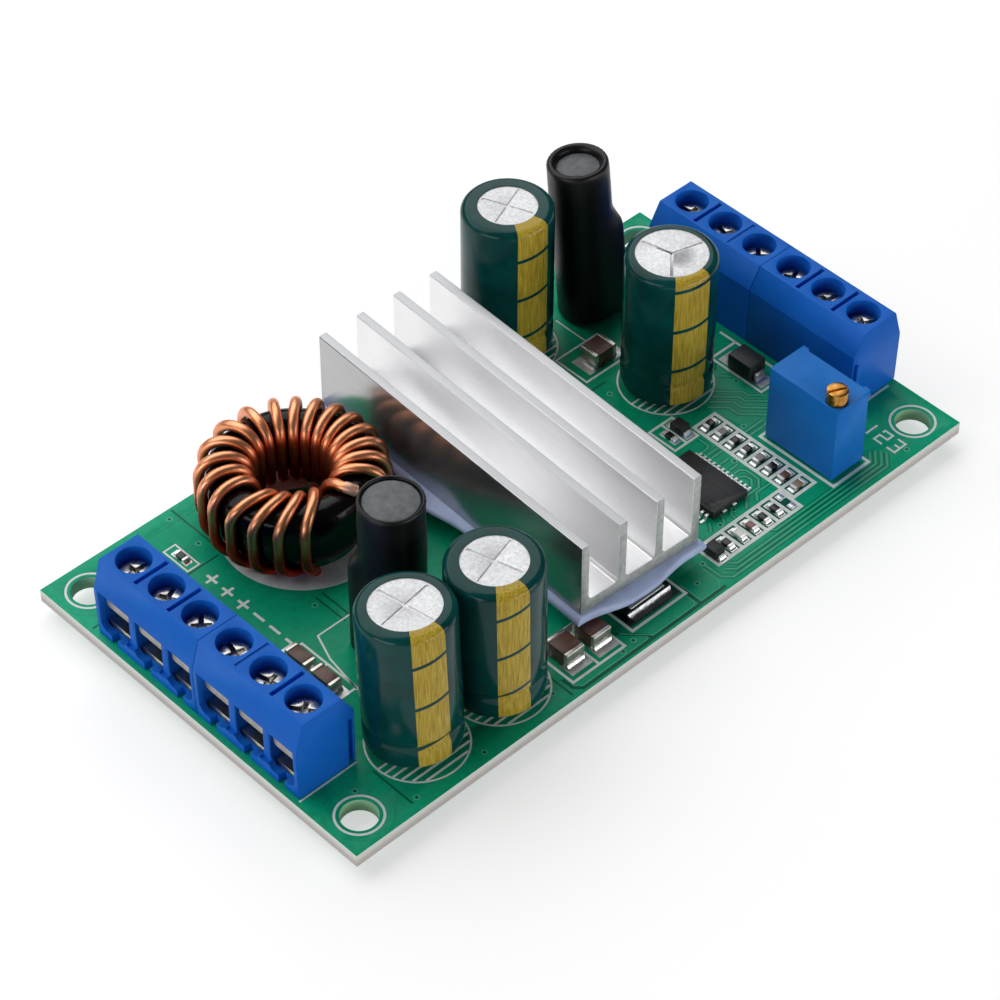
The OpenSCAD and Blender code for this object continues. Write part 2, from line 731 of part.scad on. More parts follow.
// Shrink sleeve of a rod inductor: open at the top, bulging over the returning wire
module rod_sleeve(i) {
    color("#202124")
    at_rod(i)
        difference() {
            union() {
                cylinder(d = rod_d, h = rod_len(i));
                hull() {
                    cylinder(d = rod_d, h = bulge_h + 2);
                    translate([return_x, 0, 0])
                        cylinder(r = rod_d / 2 + bulge_out - return_x, h = bulge_h, $fn = 32);
                }
            }
            translate([0, 0, -1])
                cylinder(r = rod_in, h = rod_h + 2);
            translate([return_x, 0, -1])
                cylinder(d = return_d + 0.16, h = bulge_h + 0.4, $fn = 32);
        }
}

// Leaning stand of a capacitor, printed stripe along +X
module at_cap(i) {
    translate([cap_pos[i][0], cap_pos[i][1], board_t + cap_foot])
        rotate([-cap_lean[i] * sin(cap_lean_to[i]), cap_lean[i] * cos(cap_lean_to[i]), 0])
            rotate(cap_turn[i])
                children();
}

// Outline of a can's outside, set off by the sleeve's gap and film
function can_outline(i, off) = concat(
    [[can_r - 0.7, -off], [can_r + off, -off], [can_r + off, groove_z - groove_w / 2]],
    [[can_r + off - groove_d, groove_z - 0.2], [can_r + off - groove_d, groove_z + 0.2]],
    [[can_r + off, groove_z + groove_w / 2]],
    arc([can_r - can_round, can_h(i) - can_round], can_round + off, 0, 90, 5),
    [[cap_eye_r[i], can_h(i) + off]]
);

// Aluminium can with a scored vent
module capacitor_can(i) {
    side = can_outline(i, 0);
    color("#c9cccf")
    at_cap(i)
        difference() {
            rotate_extrude()
                polygon(concat(
                    [[0, 0.8], [bung_r, 0.8], [bung_r, 0]],
                    [for (k = [1 : len(side) - 1]) side[k]],
                    [[0, can_h(i)]]
                ));
            for (k = [0 : cap_vent[i] - 1])
                rotate(k * 360 / cap_vent[i] + cap_vent_turn[i])
                    translate([0, -0.17, can_h(i) - 0.12])
                        cube([cap_eye_r[i] - 0.25, 0.34, 1]);
        }
}

// Printed film sleeve shrunk round a can
module capacitor_sleeve(i) {
    color("#2c2a33")
    at_cap(i)
        rotate_extrude()
            polygon(concat(
                can_outline(i, sleeve_gap + sleeve_t),
                flip(can_outline(i, sleeve_gap))
            ));
}

// Rubber bungs that close the cans
module capacitor_bungs() {
    color("#17181a")
    for (i = [0 : 3])
        at_cap(i)
            difference() {
                translate([0, 0, 0.05])
                    cylinder(r = bung_r - 0.03, h = 0.74);
                for (s = [-1, 1])
                    translate([s * cap_lead_pitch / 2, 0, -1])
                        cylinder(d = cap_lead_d + 0.2, h = 3, $fn = 24);
            }
}

// Leads of the capacitors and pins of the trimmer
module component_leads() {
    color("#c2c4c7")
    {
        for (p = cap_leads)
            translate([p[0], p[1], -lead_out])
                cylinder(d = p[2], h = lead_out + board_t + cap_foot + 0.45, $fn = 24);
        for (p = trim_pins)
            translate([p[0], p[1], -lead_out])
                cylinder(d = p[2], h = lead_out + board_t + 0.3, $fn = 24);
    }
}

trim_axis = [
    trim_pos[0] - trim_size[0] / 2 + trim_screw_in[0],
    trim_pos[1] - trim_size[1] / 2 + trim_screw_in[1]
];
trim_seat = board_t + trim_size[2] - 3;

// Trimmer body with stand-off feet and small lugs at its top edge
module trimmer_body() {
    color("#1f63b0")
    difference() {
        union() {
            translate([trim_pos[0] - trim_size[0] / 2, trim_pos[1] - trim_size[1] / 2, board_t + 0.3])
                cube([trim_size[0], trim_size[1], trim_size[2] - 0.3]);
            for (y = [-1, 1], x = [-1, 1])
                translate([trim_pos[0] + x * 1.7 - 0.5, trim_pos[1] + y * 4 - 0.5, board_t])
                    cube([1, 1, 0.5]);
            for (y = [-1, 1])
                translate([
                    trim_pos[0] + trim_size[0] / 2 - 0.1,
                    trim_pos[1] + y * (trim_size[1] / 2 - 0.4) - 0.4,
                    board_t + trim_size[2] - 0.9
                ])
                    cube([0.4, 0.8, 0.9]);
        }
        translate([trim_axis[0], trim_axis[1], trim_seat])
            cylinder(d = trim_screw_d + 2 * turn_clear, h = 10);
    }
}

// Brass adjusting screw with a slot
module trimmer_screw() {
    top = board_t + trim_size[2] + trim_screw_h;
    color("#c9a24a")
    difference() {
        translate([trim_axis[0], trim_axis[1], trim_seat + turn_clear])
            cylinder(d = trim_screw_d, h = top - trim_seat - turn_clear);
        translate([trim_axis[0], trim_axis[1], top])
            rotate(-25)
                cube([4, 0.36, 0.9], center = true);
    }
}

// Controller package body
module controller_body() {
    color("#2a2b2e")
    translate([ic_pos[0], ic_pos[1], board_t])
        difference() {
            along_row(ic_size[1], [
                [-ic_size[0] / 2 + 0.12, 0.1], [ic_size[0] / 2 - 0.12, 0.1], [ic_size[0] / 2, 0.58],
                [ic_size[0] / 2 - 0.12, ic_size[2]], [-ic_size[0] / 2 + 0.12, ic_size[2]],
                [-ic_size[0] / 2, 0.58]
            ]);
            translate([-ic_size[0] / 2 + 1, -ic_size[1] / 2 + 1, ic_size[2] - 0.06])
                cylinder(d = 0.9, h = 1, $fn = 24);
        }
}

// Bent leads of the controller and the cut tie bars at its ends
module controller_leads() {
    color("#c0c2c5")
    translate([ic_pos[0], ic_pos[1], board_t]) {
        for (x = [-1.05, 0.45], y = [-ic_size[1] / 2 - 0.32, ic_size[1] / 2])
            translate([x - 0.25, y, 0.5])
                cube([0.5, 0.32, 0.16]);
        for (side = [0, 180], i = [0 : ic_leads - 1])
            rotate(side)
                translate([ic_size[0] / 2, (i - (ic_leads - 1) / 2) * ic_pitch, 0])
                    along_row(0.3, [
                        [-0.02, 0.5], [0.3, 0.5], [0.45, 0], [1.2, 0],
                        [1.2, 0.16], [0.58, 0.16], [0.42, 0.66], [-0.02, 0.66]
                    ]);
    }
}

// Places something at a chip part, long side along its own X
module at_chip(c) {
    translate([c[1], c[2], board_t])
        rotate(c[3])
            children();
}

// Middle of a chip part between its metal ends
module chip_middle(c) {
    l = c[4][0] - 2 * end_len(c);
    low = c[0] == "dio" ? 0.1 : 0.03;
    at_chip(c)
        translate([-l / 2, -c[4][1] / 2 + 0.02, low])
            cube([l, c[4][1] - 0.04, c[4][2] - low - 0.02]);
}

// Ceramic chip capacitors
module ceramic_capacitors() {
    color("#8d7b66")
    for (c = chips)
        if (c[0] == "cer")
            chip_middle(c);
}

// Chip resistors
module chip_resistors() {
    color("#1c1d20")
    for (c = chips)
        if (c[0] == "res")
            chip_middle(c);
}

// Diodes and the indicator lamp chip
module diodes() {
    color("#232427")
    for (c = chips)
        if (c[0] == "dio" || c[0] == "led")
            chip_middle(c);
}

// Current shunt resistor
module shunt_resistor() {
    color("#33353a")
    for (c = chips)
        if (c[0] == "shu")
            chip_middle(c);
}

// Metal ends of the chip parts; the diodes have flat strips
module chip_terminations() {
    color("#d4d5d6")
    for (c = chips) {
        e = end_len(c);
        w = c[0] == "dio" ? c[4][1] * 0.62 : c[4][1];
        h = c[0] == "dio" ? c[4][2] * 0.5 : c[4][2];
        for (s = [0, 180])
            at_chip(c)
                rotate(s)
                    translate([c[4][0] / 2 - e, -w / 2, 0])
                        cube([e, w, h]);
    }
}

pcb();
for (i = [1 : 4])
    terminal_block(i - 1);
for (i = [1 : 12])
    terminal_screw(i - 1);
for (i = [1 : 12])
    wire_guard(i - 1);
terminal_contacts();
heatsink();
thermal_pad();
power_transistors();
transistor_leads();
toroid_core();
toroid_winding();
rod_cores();
rod_windings();
for (i = [1 : 2])
    rod_sleeve(i - 1);
for (i = [1 : 4])
    capacitor_can(i - 1);
for (i = [1 : 4])
    capacitor_sleeve(i - 1);
capacitor_bungs();
component_leads();
trimmer_body();
trimmer_screw();
controller_body();
controller_leads();
ceramic_capacitors();
chip_resistors();
diodes();
chip_terminations();
shunt_resistor();
solder_joints();
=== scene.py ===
"""Looks of the buck-boost converter module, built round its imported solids.

Lengths are in millimetres and angles in degrees, unless a comment says otherwise.
"""
import math
import random

import bmesh
import bpy
from mathutils import Matrix, Vector


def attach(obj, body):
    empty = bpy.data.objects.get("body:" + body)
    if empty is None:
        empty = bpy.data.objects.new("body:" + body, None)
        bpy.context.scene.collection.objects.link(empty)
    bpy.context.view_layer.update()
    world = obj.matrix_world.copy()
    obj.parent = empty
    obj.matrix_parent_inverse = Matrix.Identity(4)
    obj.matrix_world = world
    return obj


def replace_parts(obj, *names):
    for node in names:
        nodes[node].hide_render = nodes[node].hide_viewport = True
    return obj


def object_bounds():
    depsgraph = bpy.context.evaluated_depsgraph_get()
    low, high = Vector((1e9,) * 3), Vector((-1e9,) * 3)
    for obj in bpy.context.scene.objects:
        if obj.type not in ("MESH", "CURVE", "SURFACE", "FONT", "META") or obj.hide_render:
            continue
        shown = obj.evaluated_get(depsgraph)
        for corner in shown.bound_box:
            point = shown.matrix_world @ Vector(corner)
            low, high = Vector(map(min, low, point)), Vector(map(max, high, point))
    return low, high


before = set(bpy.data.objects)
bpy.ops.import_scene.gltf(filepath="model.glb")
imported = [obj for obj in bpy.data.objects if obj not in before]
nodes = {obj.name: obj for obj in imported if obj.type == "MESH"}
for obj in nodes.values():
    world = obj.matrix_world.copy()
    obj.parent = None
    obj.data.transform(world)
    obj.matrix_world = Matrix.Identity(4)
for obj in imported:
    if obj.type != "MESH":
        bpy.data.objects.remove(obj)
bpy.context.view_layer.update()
scene = bpy.context.scene
scene.view_settings.view_transform = "Standard"
MM = 0.001
ROOT = "module"

# Sizes and places that the part's source has too
BOARD = (87.0, 48.3, 1.6)
TOP = BOARD[2]
HOLE_INSET = 3.6
HOLES = [(x * (BOARD[0] / 2 - HOLE_INSET), y * (BOARD[1] / 2 - HOLE_INSET)) for x in (-1, 1) for y in (-1, 1)]
NEAR_X = -BOARD[0] / 2 + 4.0
FAR_X = BOARD[0] / 2 - 3.2
LEAD_OUT = 1.6
TOROID = (-17.9, 13.85)
SINK_MID = (0.6, 1.45)
SINK_TURN = -2.74
SINK_L, SINK_W, SINK_H = 41.2, 16.1, 9.45
PAD_Z = TOP + 2.3
PAD_T = 1.2
CAPS = [(-29.45, -16.9), (-18.9, -17.6), (17.05, 18.5), (25.2, 2.1)]


def lin(code):
    """Linear colour of an sRGB hex code."""
    out = []
    for i in (0, 2, 4):
        c = int(code[i:i + 2], 16) / 255
        out.append(c / 12.92 if c <= 0.04045 else ((c + 0.055) / 1.055) ** 2.4)
    return (*out, 1.0)


class Mat:
    """A small builder for one procedural material."""

    def __init__(self, name, rough=0.5, metal=0.0):
        self.mat = bpy.data.materials.new(name)
        self.mat.use_nodes = True
        self.tree = self.mat.node_tree
        self.bsdf = self.tree.nodes["Principled BSDF"]
        self.set(Roughness=rough, Metallic=metal)
        self.coord = self.node("ShaderNodeTexCoord").outputs["Object"]

    def node(self, kind, **values):
        made = self.tree.nodes.new(kind)
        for key, value in values.items():
            setattr(made, key, value)
        return made

    def link(self, a, b):
        self.tree.links.new(a, b)

    def plug(self, value, socket):
        """Links an output to a socket, or sets the socket to a plain value."""
        if isinstance(value, bpy.types.NodeSocket):
            self.link(value, socket)
        else:
            socket.default_value = value

    def set(self, **sockets):
        """Sets constants on the shader's own sockets."""
        for key, value in sockets.items():
            self.bsdf.inputs[key.replace("_", " ")].default_value = value

    def axes(self, vector=None):
        """X, Y and Z of a vector, or of the place on the object."""
        split = self.node("ShaderNodeSeparateXYZ")
        self.link(self.coord if vector is None else vector, split.inputs[0])
        return tuple(split.outputs)

    def facing(self):
        """X, Y and Z of the direction that the surface faces."""
        return self.axes(self.node("ShaderNodeNewGeometry").outputs["Normal"])

    def stretch(self, x, y, z, turn=0.0):
        """Place on the object, scaled along each axis and turned about Z."""
        made = self.node("ShaderNodeMapping")
        made.inputs["Scale"].default_value = (x, y, z)
        made.inputs["Rotation"].default_value = (0, 0, math.radians(turn))
        self.link(self.coord, made.inputs["Vector"])
        return made.outputs["Vector"]

    def noise(self, per_mm, detail=3.0, rough=0.55, vector=None):
        made = self.node("ShaderNodeTexNoise")
        made.inputs["Scale"].default_value = per_mm / MM if vector is None else per_mm
        made.inputs["Detail"].default_value = detail
        made.inputs["Roughness"].default_value = rough
        self.link(self.coord if vector is None else vector, made.inputs["Vector"])
        return made.outputs["Fac"]

    def ramp(self, fac, stops):
        made = self.node("ShaderNodeValToRGB")
        while len(made.color_ramp.elements) < len(stops):
            made.color_ramp.elements.new(0.5)
        for element, (place, colour) in zip(made.color_ramp.elements, stops):
            element.position = place
            element.color = colour if len(colour) == 4 else (*colour, 1.0)
        self.link(fac, made.inputs["Fac"])
        return made.outputs["Color"]

    def tints(self, fac, a, b, low=0.3, high=0.7):
        """Colour between two hex tints, over the range where most of a noise lies."""
        return self.ramp(fac, [(low, lin(a)), (high, lin(b))])

    def mix(self, fac, a, b, blend="MIX"):
        """Mix of two colours, through the colour sockets of the node."""
        made = self.node("ShaderNodeMix", data_type="RGBA", blend_type=blend)
        for value, index in ((fac, 0), (a, 6), (b, 7)):
            self.plug(value, made.inputs[index])
        return made.outputs[2]

    def math(self, op, a, b=None):
        made = self.node("ShaderNodeMath", operation=op)
        self.plug(a, made.inputs[0])
        if b is not None:
            self.plug(b, made.inputs[1])
        return made.outputs[0]

    def above(self, a, limit):
        return self.math("GREATER_THAN", a, limit)

    def below(self, a, limit):
        return self.math("LESS_THAN", a, limit)

    def size(self, a):
        return self.math("ABSOLUTE", a)

    def times(self, a, b):
        return self.math("MULTIPLY", a, b)

    def total(self, base, *parts):
        """A base value plus parts, each of them a factor and its weight."""
        for fac, weight in parts:
            base = self.math("ADD", base, self.times(fac, weight))
        return base

    def color(self, socket):
        self.link(socket, self.bsdf.inputs["Base Color"])

    def rough(self, fac, low, high):
        made = self.node("ShaderNodeMapRange")
        made.inputs["To Min"].default_value = low
        made.inputs["To Max"].default_value = high
        self.link(fac, made.inputs["Value"])
        self.link(made.outputs["Result"], self.bsdf.inputs["Roughness"])

    def bump(self, height, strength, depth):
        made = self.node("ShaderNodeBump")
        made.inputs["Strength"].default_value = strength
        made.inputs["Distance"].default_value = depth * MM
        self.link(height, made.inputs["Height"])
        self.link(made.outputs["Normal"], self.bsdf.inputs["Normal"])


# Strength, depth and waves per millimetre of a fine bump, and how far gloss strays from its mean
FINE_BUMP = (0.12, 0.02, 6.0)
GLOSS_SPREAD = 0.09


def plain(name, a, b, rough, metal=0.0, per_mm=0.6, bump=FINE_BUMP, spec=0.5, **sockets):
    """Material with a mottled colour between two tints, uneven gloss and a fine bump."""
    m = Mat(name, rough, metal)
    m.color(m.tints(m.noise(per_mm), a, b))
    m.rough(m.noise(per_mm * 2.3), max(rough - GLOSS_SPREAD, 0.03), min(rough + GLOSS_SPREAD, 1.0))
    strength, depth, bump_per_mm = bump
    m.bump(m.noise(bump_per_mm, 2.0), strength, depth)
    m.set(Specular_IOR_Level=spec, **sockets)
    return m.mat


# Materials
EDGE = 0.1
FIBRE_LAYERS = ((0.3, "cfc7c4"), (0.6, "d8d2ce"), (0.75, "e2e6de"), (1.0, "ebefe8"))
# Height above which the fin tips are matt, and greyed by a painted shade
FIN_TIP = PAD_Z + PAD_T + SINK_H - 0.06
# X below which the fin's outer face gets a painted shade
OUTER_FIN_SHADE_X = -5.0
BAR_HALF = 0.04
# Painted shade on the copper: the height scale it follows, and its darkest tint low down
COPPER_SHADE_H = 10.0
COPPER_PAINTED_SHADE = (0.75, 0.08, 0.045)
WHITE = (1.0, 1.0, 1.0)


def board_material():
    """Green mask on the flat faces, pale glass fibre round the outline and green walls in the holes."""
    m = Mat("solder_mask", 0.3)
    x, y, z = m.axes()
    flat = m.above(m.size(m.facing()[2]), 0.5)
    mask = m.tints(m.noise(0.035, 2.0), "0aa276", "10ae82", 0.35, 0.65)
    fine = m.ramp(m.noise(1.3, 4.0), [(0.35, (0.86, 0.86, 0.86)), (0.65, WHITE)])
    mask = m.mix(1.0, mask, fine, "MULTIPLY")
    threads = m.noise(2.0, 4.0, vector=m.stretch(300, 300, 9000))
    level = m.total(m.math("DIVIDE", z, TOP * MM), (threads, 0.3))
    fibre = m.ramp(level, [(place, lin(code)) for place, code in FIBRE_LAYERS])
    rim_x = m.above(m.size(x), (BOARD[0] / 2 - EDGE) * MM)
    rim_y = m.above(m.size(y), (BOARD[1] / 2 - EDGE) * MM)
    walls = m.mix(m.math("MAXIMUM", rim_x, rim_y), lin("9fcba6"), fibre)
    m.color(m.mix(flat, walls, mask))
    m.rough(flat, 0.75, 0.32)
    m.bump(m.noise(1.1), 0.12, 0.02)
    m.set(Specular_IOR_Level=0.13)
    return m.mat


def sink_material():
    """Drawn faces with lines along the fins, with dull sawn ends; a painted shade makes the outer face greyer
    and less metallic, so it mirrors its surroundings darker, and greys the matt tips.
    """
    m = Mat("extruded_aluminium", 0.3, 1.0)
    x, _, z = m.axes()
    facing_x, facing_y, _ = m.facing()
    sawn = m.above(m.size(facing_y), 0.8)
    # Painted shade: the tips are greyer as well as rougher
    shaded_tip = m.above(z, FIN_TIP * MM)
    # Painted shade: the outer face is greyer and less metallic, so it mirrors its surroundings darker
    outer = m.times(m.below(x, OUTER_FIN_SHADE_X * MM), m.below(facing_x, -0.5))
    lines = m.noise(1.0, 4.0, 0.7, m.stretch(9000, 160, 9000, -SINK_TURN))
    tone = m.total(0.0, (lines, 0.7), (m.noise(0.12), 0.3))
    drawn_with_shade = m.mix(outer, m.tints(tone, "eeeeef", "fcfcfd"), m.tints(tone, "a6a7a8", "c2c2c3"))
    drawn_with_shade = m.mix(shaded_tip, drawn_with_shade, lin("d6d7d9"))
    m.color(m.mix(sawn, drawn_with_shade, m.tints(m.noise(1.5), "979b99", "b0b4b2")))
    gloss = m.total(0.28, (lines, 0.14), (outer, -0.12), (shaded_tip, 0.35), (sawn, 0.25))
    m.link(gloss, m.bsdf.inputs["Roughness"])
    m.link(m.total(1.0, (outer, -0.1)), m.bsdf.inputs["Metallic"])
    m.bump(lines, 0.2, 0.03)
    return m.mat


def sleeve_material(name, stripe, bar_step, bar_from, tilt):
    """Printed film: U runs round the can from the stripe's middle, V is the height in millimetres."""
    m = Mat(name, 0.3)
    u, v, _ = m.axes(m.node("ShaderNodeUVMap", uv_map="film").outputs["UV"])
    aside = m.math("SUBTRACT", u, 0.5)
    stripe_on = m.below(m.size(aside), stripe / 360 / 2)
    level = m.total(v, (aside, -tilt * 360 / stripe))
    step = m.math("FRACT", m.math("DIVIDE", m.math("SUBTRACT", level, bar_from - bar_step / 2), bar_step))
    between_bars = m.above(m.size(m.math("SUBTRACT", step, 0.5)), BAR_HALF)
    grain = m.noise(1.0, 4.0, 0.6, m.stretch(6500, 6500, 420))
    gold = m.ramp(grain, [(0.3, lin("927b20")), (0.5, lin("b59a34")), (0.7, lin("cbb24c"))])
    film = m.tints(m.noise(0.25, 2.0), "043634", "074745")
    m.color(m.mix(m.times(stripe_on, between_bars), film, gold))
    m.rough(m.noise(0.5), 0.12, 0.2)
    m.bump(m.noise(0.35, 2.0), 0.25, 0.08)
    m.set(Specular_IOR_Level=0.18)
    return m.mat


def copper_material():
    """Enamelled wire with a painted shade: a deeper, darker red low down, where light reaches it only from
    other turns.
    """
    m = Mat("enamelled_copper", 0.34, 1.0)
    tint = m.tints(m.noise(0.5), "e9996a", "f9aa80")
    level = m.math("DIVIDE", m.axes()[2], COPPER_SHADE_H * MM)
    # Painted shade: the tint turns darker and redder the lower the wire lies
    shade = m.ramp(level, [(0.55, COPPER_PAINTED_SHADE), (0.97, WHITE)])
    m.color(m.mix(1.0, tint, shade, "MULTIPLY"))
    m.rough(m.noise(2.0), 0.32, 0.44)
    m.bump(m.noise(1.4, 2.0), 0.12, 0.03)
    m.set(Coat_Weight=0.2, Coat_Roughness=0.12)
    return m.mat


MAT = {
    "board": board_material(),
    "sink": sink_material(),
    "copper": copper_material(),
    "blue": plain("housing_plastic", "0d62c8", "126acf", 0.46, per_mm=0.25, bump=(0.1, 0.02, 3.0), spec=0.14),
    "trim": plain("trimmer_plastic", "0f6dc4", "1777cf", 0.46, per_mm=0.3, bump=(0.25, 0.03, 4.0), spec=0.18),
    "nickel": plain("nickel_plated_steel", "b7b4ac", "d9d6ce", 0.26, 1.0, 1.5),
    "stainless": plain("stainless_sheet", "a8a299", "c0bab0", 0.5, 0.85, 1.2),
    "tinned": plain("tinned_brass", "a9a79f", "c9c6bd", 0.32, 1.0, 1.2),
    "tin": plain("tin_plating", "e2e2e2", "f8f8f8", 0.45, 0.7, 2.0, (0.2, 0.02, 6.0)),
    "solder": plain("solder", "cfd1d3", "efeff0", 0.3, 0.9, 1.5, (0.3, 0.05, 2.5)),
    "black": plain("moulding_compound", "161719", "242528", 0.52, per_mm=2.0, bump=(0.25, 0.02, 9.0)),
    "glaze": plain("resistor_body", "101113", "1d1e21", 0.3, per_mm=2.5),
    "core": plain("core_coat", "040405", "0a0a0b", 0.2, per_mm=0.5, bump=(0.4, 0.15, 0.8), spec=0.2),
    "ferrite": plain("ferrite", "4f5356", "6b6f72", 0.55, per_mm=1.2, bump=(0.35, 0.03, 5.0)),
    "shrink": plain("shrink_tube", "09090a", "131314", 0.38, per_mm=0.4, bump=(0.25, 0.08, 0.6), spec=0.3),
    "can": plain("can_aluminium", "d2d3d5", "f0f0f1", 0.62, 0.7, 3.0, (0.3, 0.03, 5.0)),
    "rubber": plain("bung_rubber", "0d0d0e", "1a1a1b", 0.7, per_mm=1.0),
    "brass": plain("plain_brass", "96662a", "c4904a", 0.28, 1.0, 1.5),
    "pad": plain("silicone_pad", "aabbe2", "becdf0", 0.55, per_mm=0.5, bump=(0.2, 0.05, 2.0),
                 Subsurface_Weight=0.2, Subsurface_Scale=1.5 * MM),
    "ink": plain("board_ink", "dbe3de", "eef3ef", 0.6, per_mm=1.2, bump=(0.2, 0.01, 7.0)),
    "trace": plain("raised_track", "0f9f75", "15ab80", 0.32, per_mm=0.4, bump=(0.1, 0.01, 6.0), spec=0.16),
    # Gaps and via eyes, and also the painted shade laid on the board
    "gap": plain("bare_gap_and_shade", "03573f", "05654a", 0.34, per_mm=0.4, bump=(0.1, 0.01, 6.0), spec=0.13),
    # Via rims, and also the painted highlights along tracks and copper areas
    "rim": plain("rim_and_glint", "3fb38c", "55c29c", 0.4, per_mm=0.8, bump=(0.1, 0.01, 6.0), spec=0.16),
    "cer_brown": plain("ceramic_brown", "57392e", "6b4a3d", 0.42, per_mm=1.5),
    "cer_grey": plain("ceramic_grey", "7f7a73", "979189", 0.42, per_mm=1.5),
    "cer_pink": plain("ceramic_pink", "7e5650", "96706a", 0.42, per_mm=1.5),
    "cer_tan": plain("ceramic_tan", "86705c", "a08a76", 0.42, per_mm=1.5),
    "lamp": plain("lamp_body", "dfe2da", "f6f7f2", 0.35, per_mm=1.5),
    "shunt": plain("shunt_body", "0c0d0f", "18191c", 0.3, per_mm=1.0),
    "cap_metal": plain("end_caps", "b2afa5", "cfccc3", 0.3, 0.9, 1.5, (0.3, 0.04, 2.0)),
    "land": plain("tinned_lands", "b4b6b4", "d4d6d4", 0.38, 0.8, 1.2, (0.4, 0.06, 2.0)),
    "dull": plain("dull_solder", "6f7174", "97999c", 0.24, 1.0, 1.0, (0.4, 0.1, 1.2)),
    "bare": plain("bare_copper", "dba68c", "f0c4ac", 0.5, 0.8, 2.0, (0.25, 0.02, 6.0)),
}


# Mesh helpers
MITRE_LIMIT = 0.4
STEEP = 0.8
WELD_M = 2e-6
BEVEL_STEPS = 2


def add_object(name, data):
    obj = bpy.data.objects.new(name, data)
    scene.collection.objects.link(obj)
    return obj


def piece(name, bm, mat, smooth=None):
    """Turns a bmesh in millimetres into a piece that rides on the board's body."""
    mesh = bpy.data.meshes.new(name)
    bmesh.ops.recalc_face_normals(bm, faces=bm.faces)
    bm.transform(Matrix.Scale(MM, 4))
    bm.to_mesh(mesh)
    bm.free()
    obj = add_object(name, mesh)
    mesh.materials.append(mat)
    if smooth is not None:
        mesh.shade_smooth()
        mesh.set_sharp_from_angle(angle=math.radians(smooth))
    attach(obj, ROOT)
    return obj


def prism(bm, outline, z0, z1):
    """Closed prism over an outline in plan."""
    low = [bm.verts.new((x, y, z0)) for x, y in outline]
    high = [bm.verts.new((x, y, z1)) for x, y in outline]
    bm.faces.new(low[::-1])
    bm.faces.new(high)
    join(bm, [low, high])


def join(bm, rings):
    """Faces between closed rings of as many points each."""
    for low, high in zip(rings, rings[1:]):
        for i in range(len(low)):
            j = (i + 1) % len(low)
            bm.faces.new((low[i], low[j], high[j], high[i]))


def stroke(bm, pts, w, z0, z1, closed=False):
    """Flat line of width w along points in plan, with mitred corners."""
    pts = [Vector(p) for p in pts]
    n = len(pts)
    left, right = [], []
    for i, p in enumerate(pts):
        a = pts[i - 1] if i or closed else None
        b = pts[(i + 1) % n] if i < n - 1 or closed else None
        d0 = (p - a).normalized() if a is not None else (b - p).normalized()
        d1 = (b - p).normalized() if b is not None else d0
        n0, n1 = Vector((-d0.y, d0.x)), Vector((-d1.y, d1.x))
        mitre = (n0 + n1).normalized()
        k = w / 2 / max(mitre.dot(n0), MITRE_LIMIT)
        left.append(p + mitre * k)
        right.append(p - mitre * k)
    sides = ((left, z0), (left, z1), (right, z1), (right, z0))
    rows = [[bm.verts.new((q.x, q.y, z)) for q in side] for side, z in sides]
    for i in range(n if closed else n - 1):
        j = (i + 1) % n
        for r in range(4):
            s = (r + 1) % 4
            bm.faces.new((rows[r][i], rows[r][j], rows[s][j], rows[s][i]))
    if not closed:
        for i in (0, n - 1):
            bm.faces.new([rows[r][i] for r in range(4)])


def polar(r, angle):
    return (r * math.cos(math.radians(angle)), r * math.sin(math.radians(angle)))


def circle(c, r, n=48, a0=0.0, a1=360.0):
    """Points of a circle, or of an arc with both its ends."""
    count = n if a1 - a0 >= 360 else n + 1
    spots = [polar(r, a0 + (a1 - a0) * i / n) for i in range(count)]
    return [(c[0] + x, c[1] + y) for x, y in spots]


def rect(x0, y0, x1, y1):
    return [(x0, y0), (x1, y0), (x1, y1), (x0, y1)]


def block(bm, mid, size, turn, edge, steps=2):
    """Box with rounded edges: mid is its plan centre and foot height."""
    made = bmesh.ops.create_cube(bm, size=1.0)["verts"]
    place = (Matrix.Translation((mid[0], mid[1], mid[2] + size[2] / 2))
             @ Matrix.Rotation(math.radians(turn), 4, "Z") @ Matrix.Diagonal((*size, 1.0)))
    bmesh.ops.transform(bm, matrix=place, verts=made)
    edges = list({e for v in made for e in v.link_edges})
    bmesh.ops.bevel(bm, geom=edges, offset=edge, segments=steps, affect="EDGES", profile=0.5)


def lathe(bm, profile, place, uv_name, sides):
    """Closed surface of revolution from (radius, height) points, with U round it and V as the height."""
    layer = bm.loops.layers.uv.new(uv_name)
    rows = []
    for r, z in profile:
        spots = [polar(r, 360 * (i / sides - 0.5)) for i in range(sides)]
        rows.append([bm.verts.new(place @ Vector((x, y, z))) for x, y in spots])
    for k in range(len(profile)):
        after = (k + 1) % len(profile)
        for i in range(sides):
            j = (i + 1) % sides
            face = bm.faces.new((rows[k][i], rows[k][j], rows[after][j], rows[after][i]))
            corners = ((i, k), (i + 1, k), (i + 1, after), (i, after))
            for loop, (turn, row) in zip(face.loops, corners):
                loop[layer].uv = (turn / sides, profile[row][1])


def tube(bm, path, r, sides=16):
    """Round tube along 3-D points, with closed ends."""
    pts = [Vector(p) for p in path]
    rings = []
    ref = None
    for i, p in enumerate(pts):
        t = (pts[min(i + 1, len(pts) - 1)] - pts[max(i - 1, 0)]).normalized()
        if ref is None:
            ref = Vector((0, 0, 1)) if abs(t.z) < STEEP else Vector((1, 0, 0))
        ref = (ref - t * ref.dot(t)).normalized()
        across = t.cross(ref)
        spots = [polar(r, 360 * k / sides) for k in range(sides)]
        rings.append([bm.verts.new(p + x * ref + y * across) for x, y in spots])
    join(bm, rings)
    bm.faces.new(rings[0][::-1])
    bm.faces.new(rings[-1])


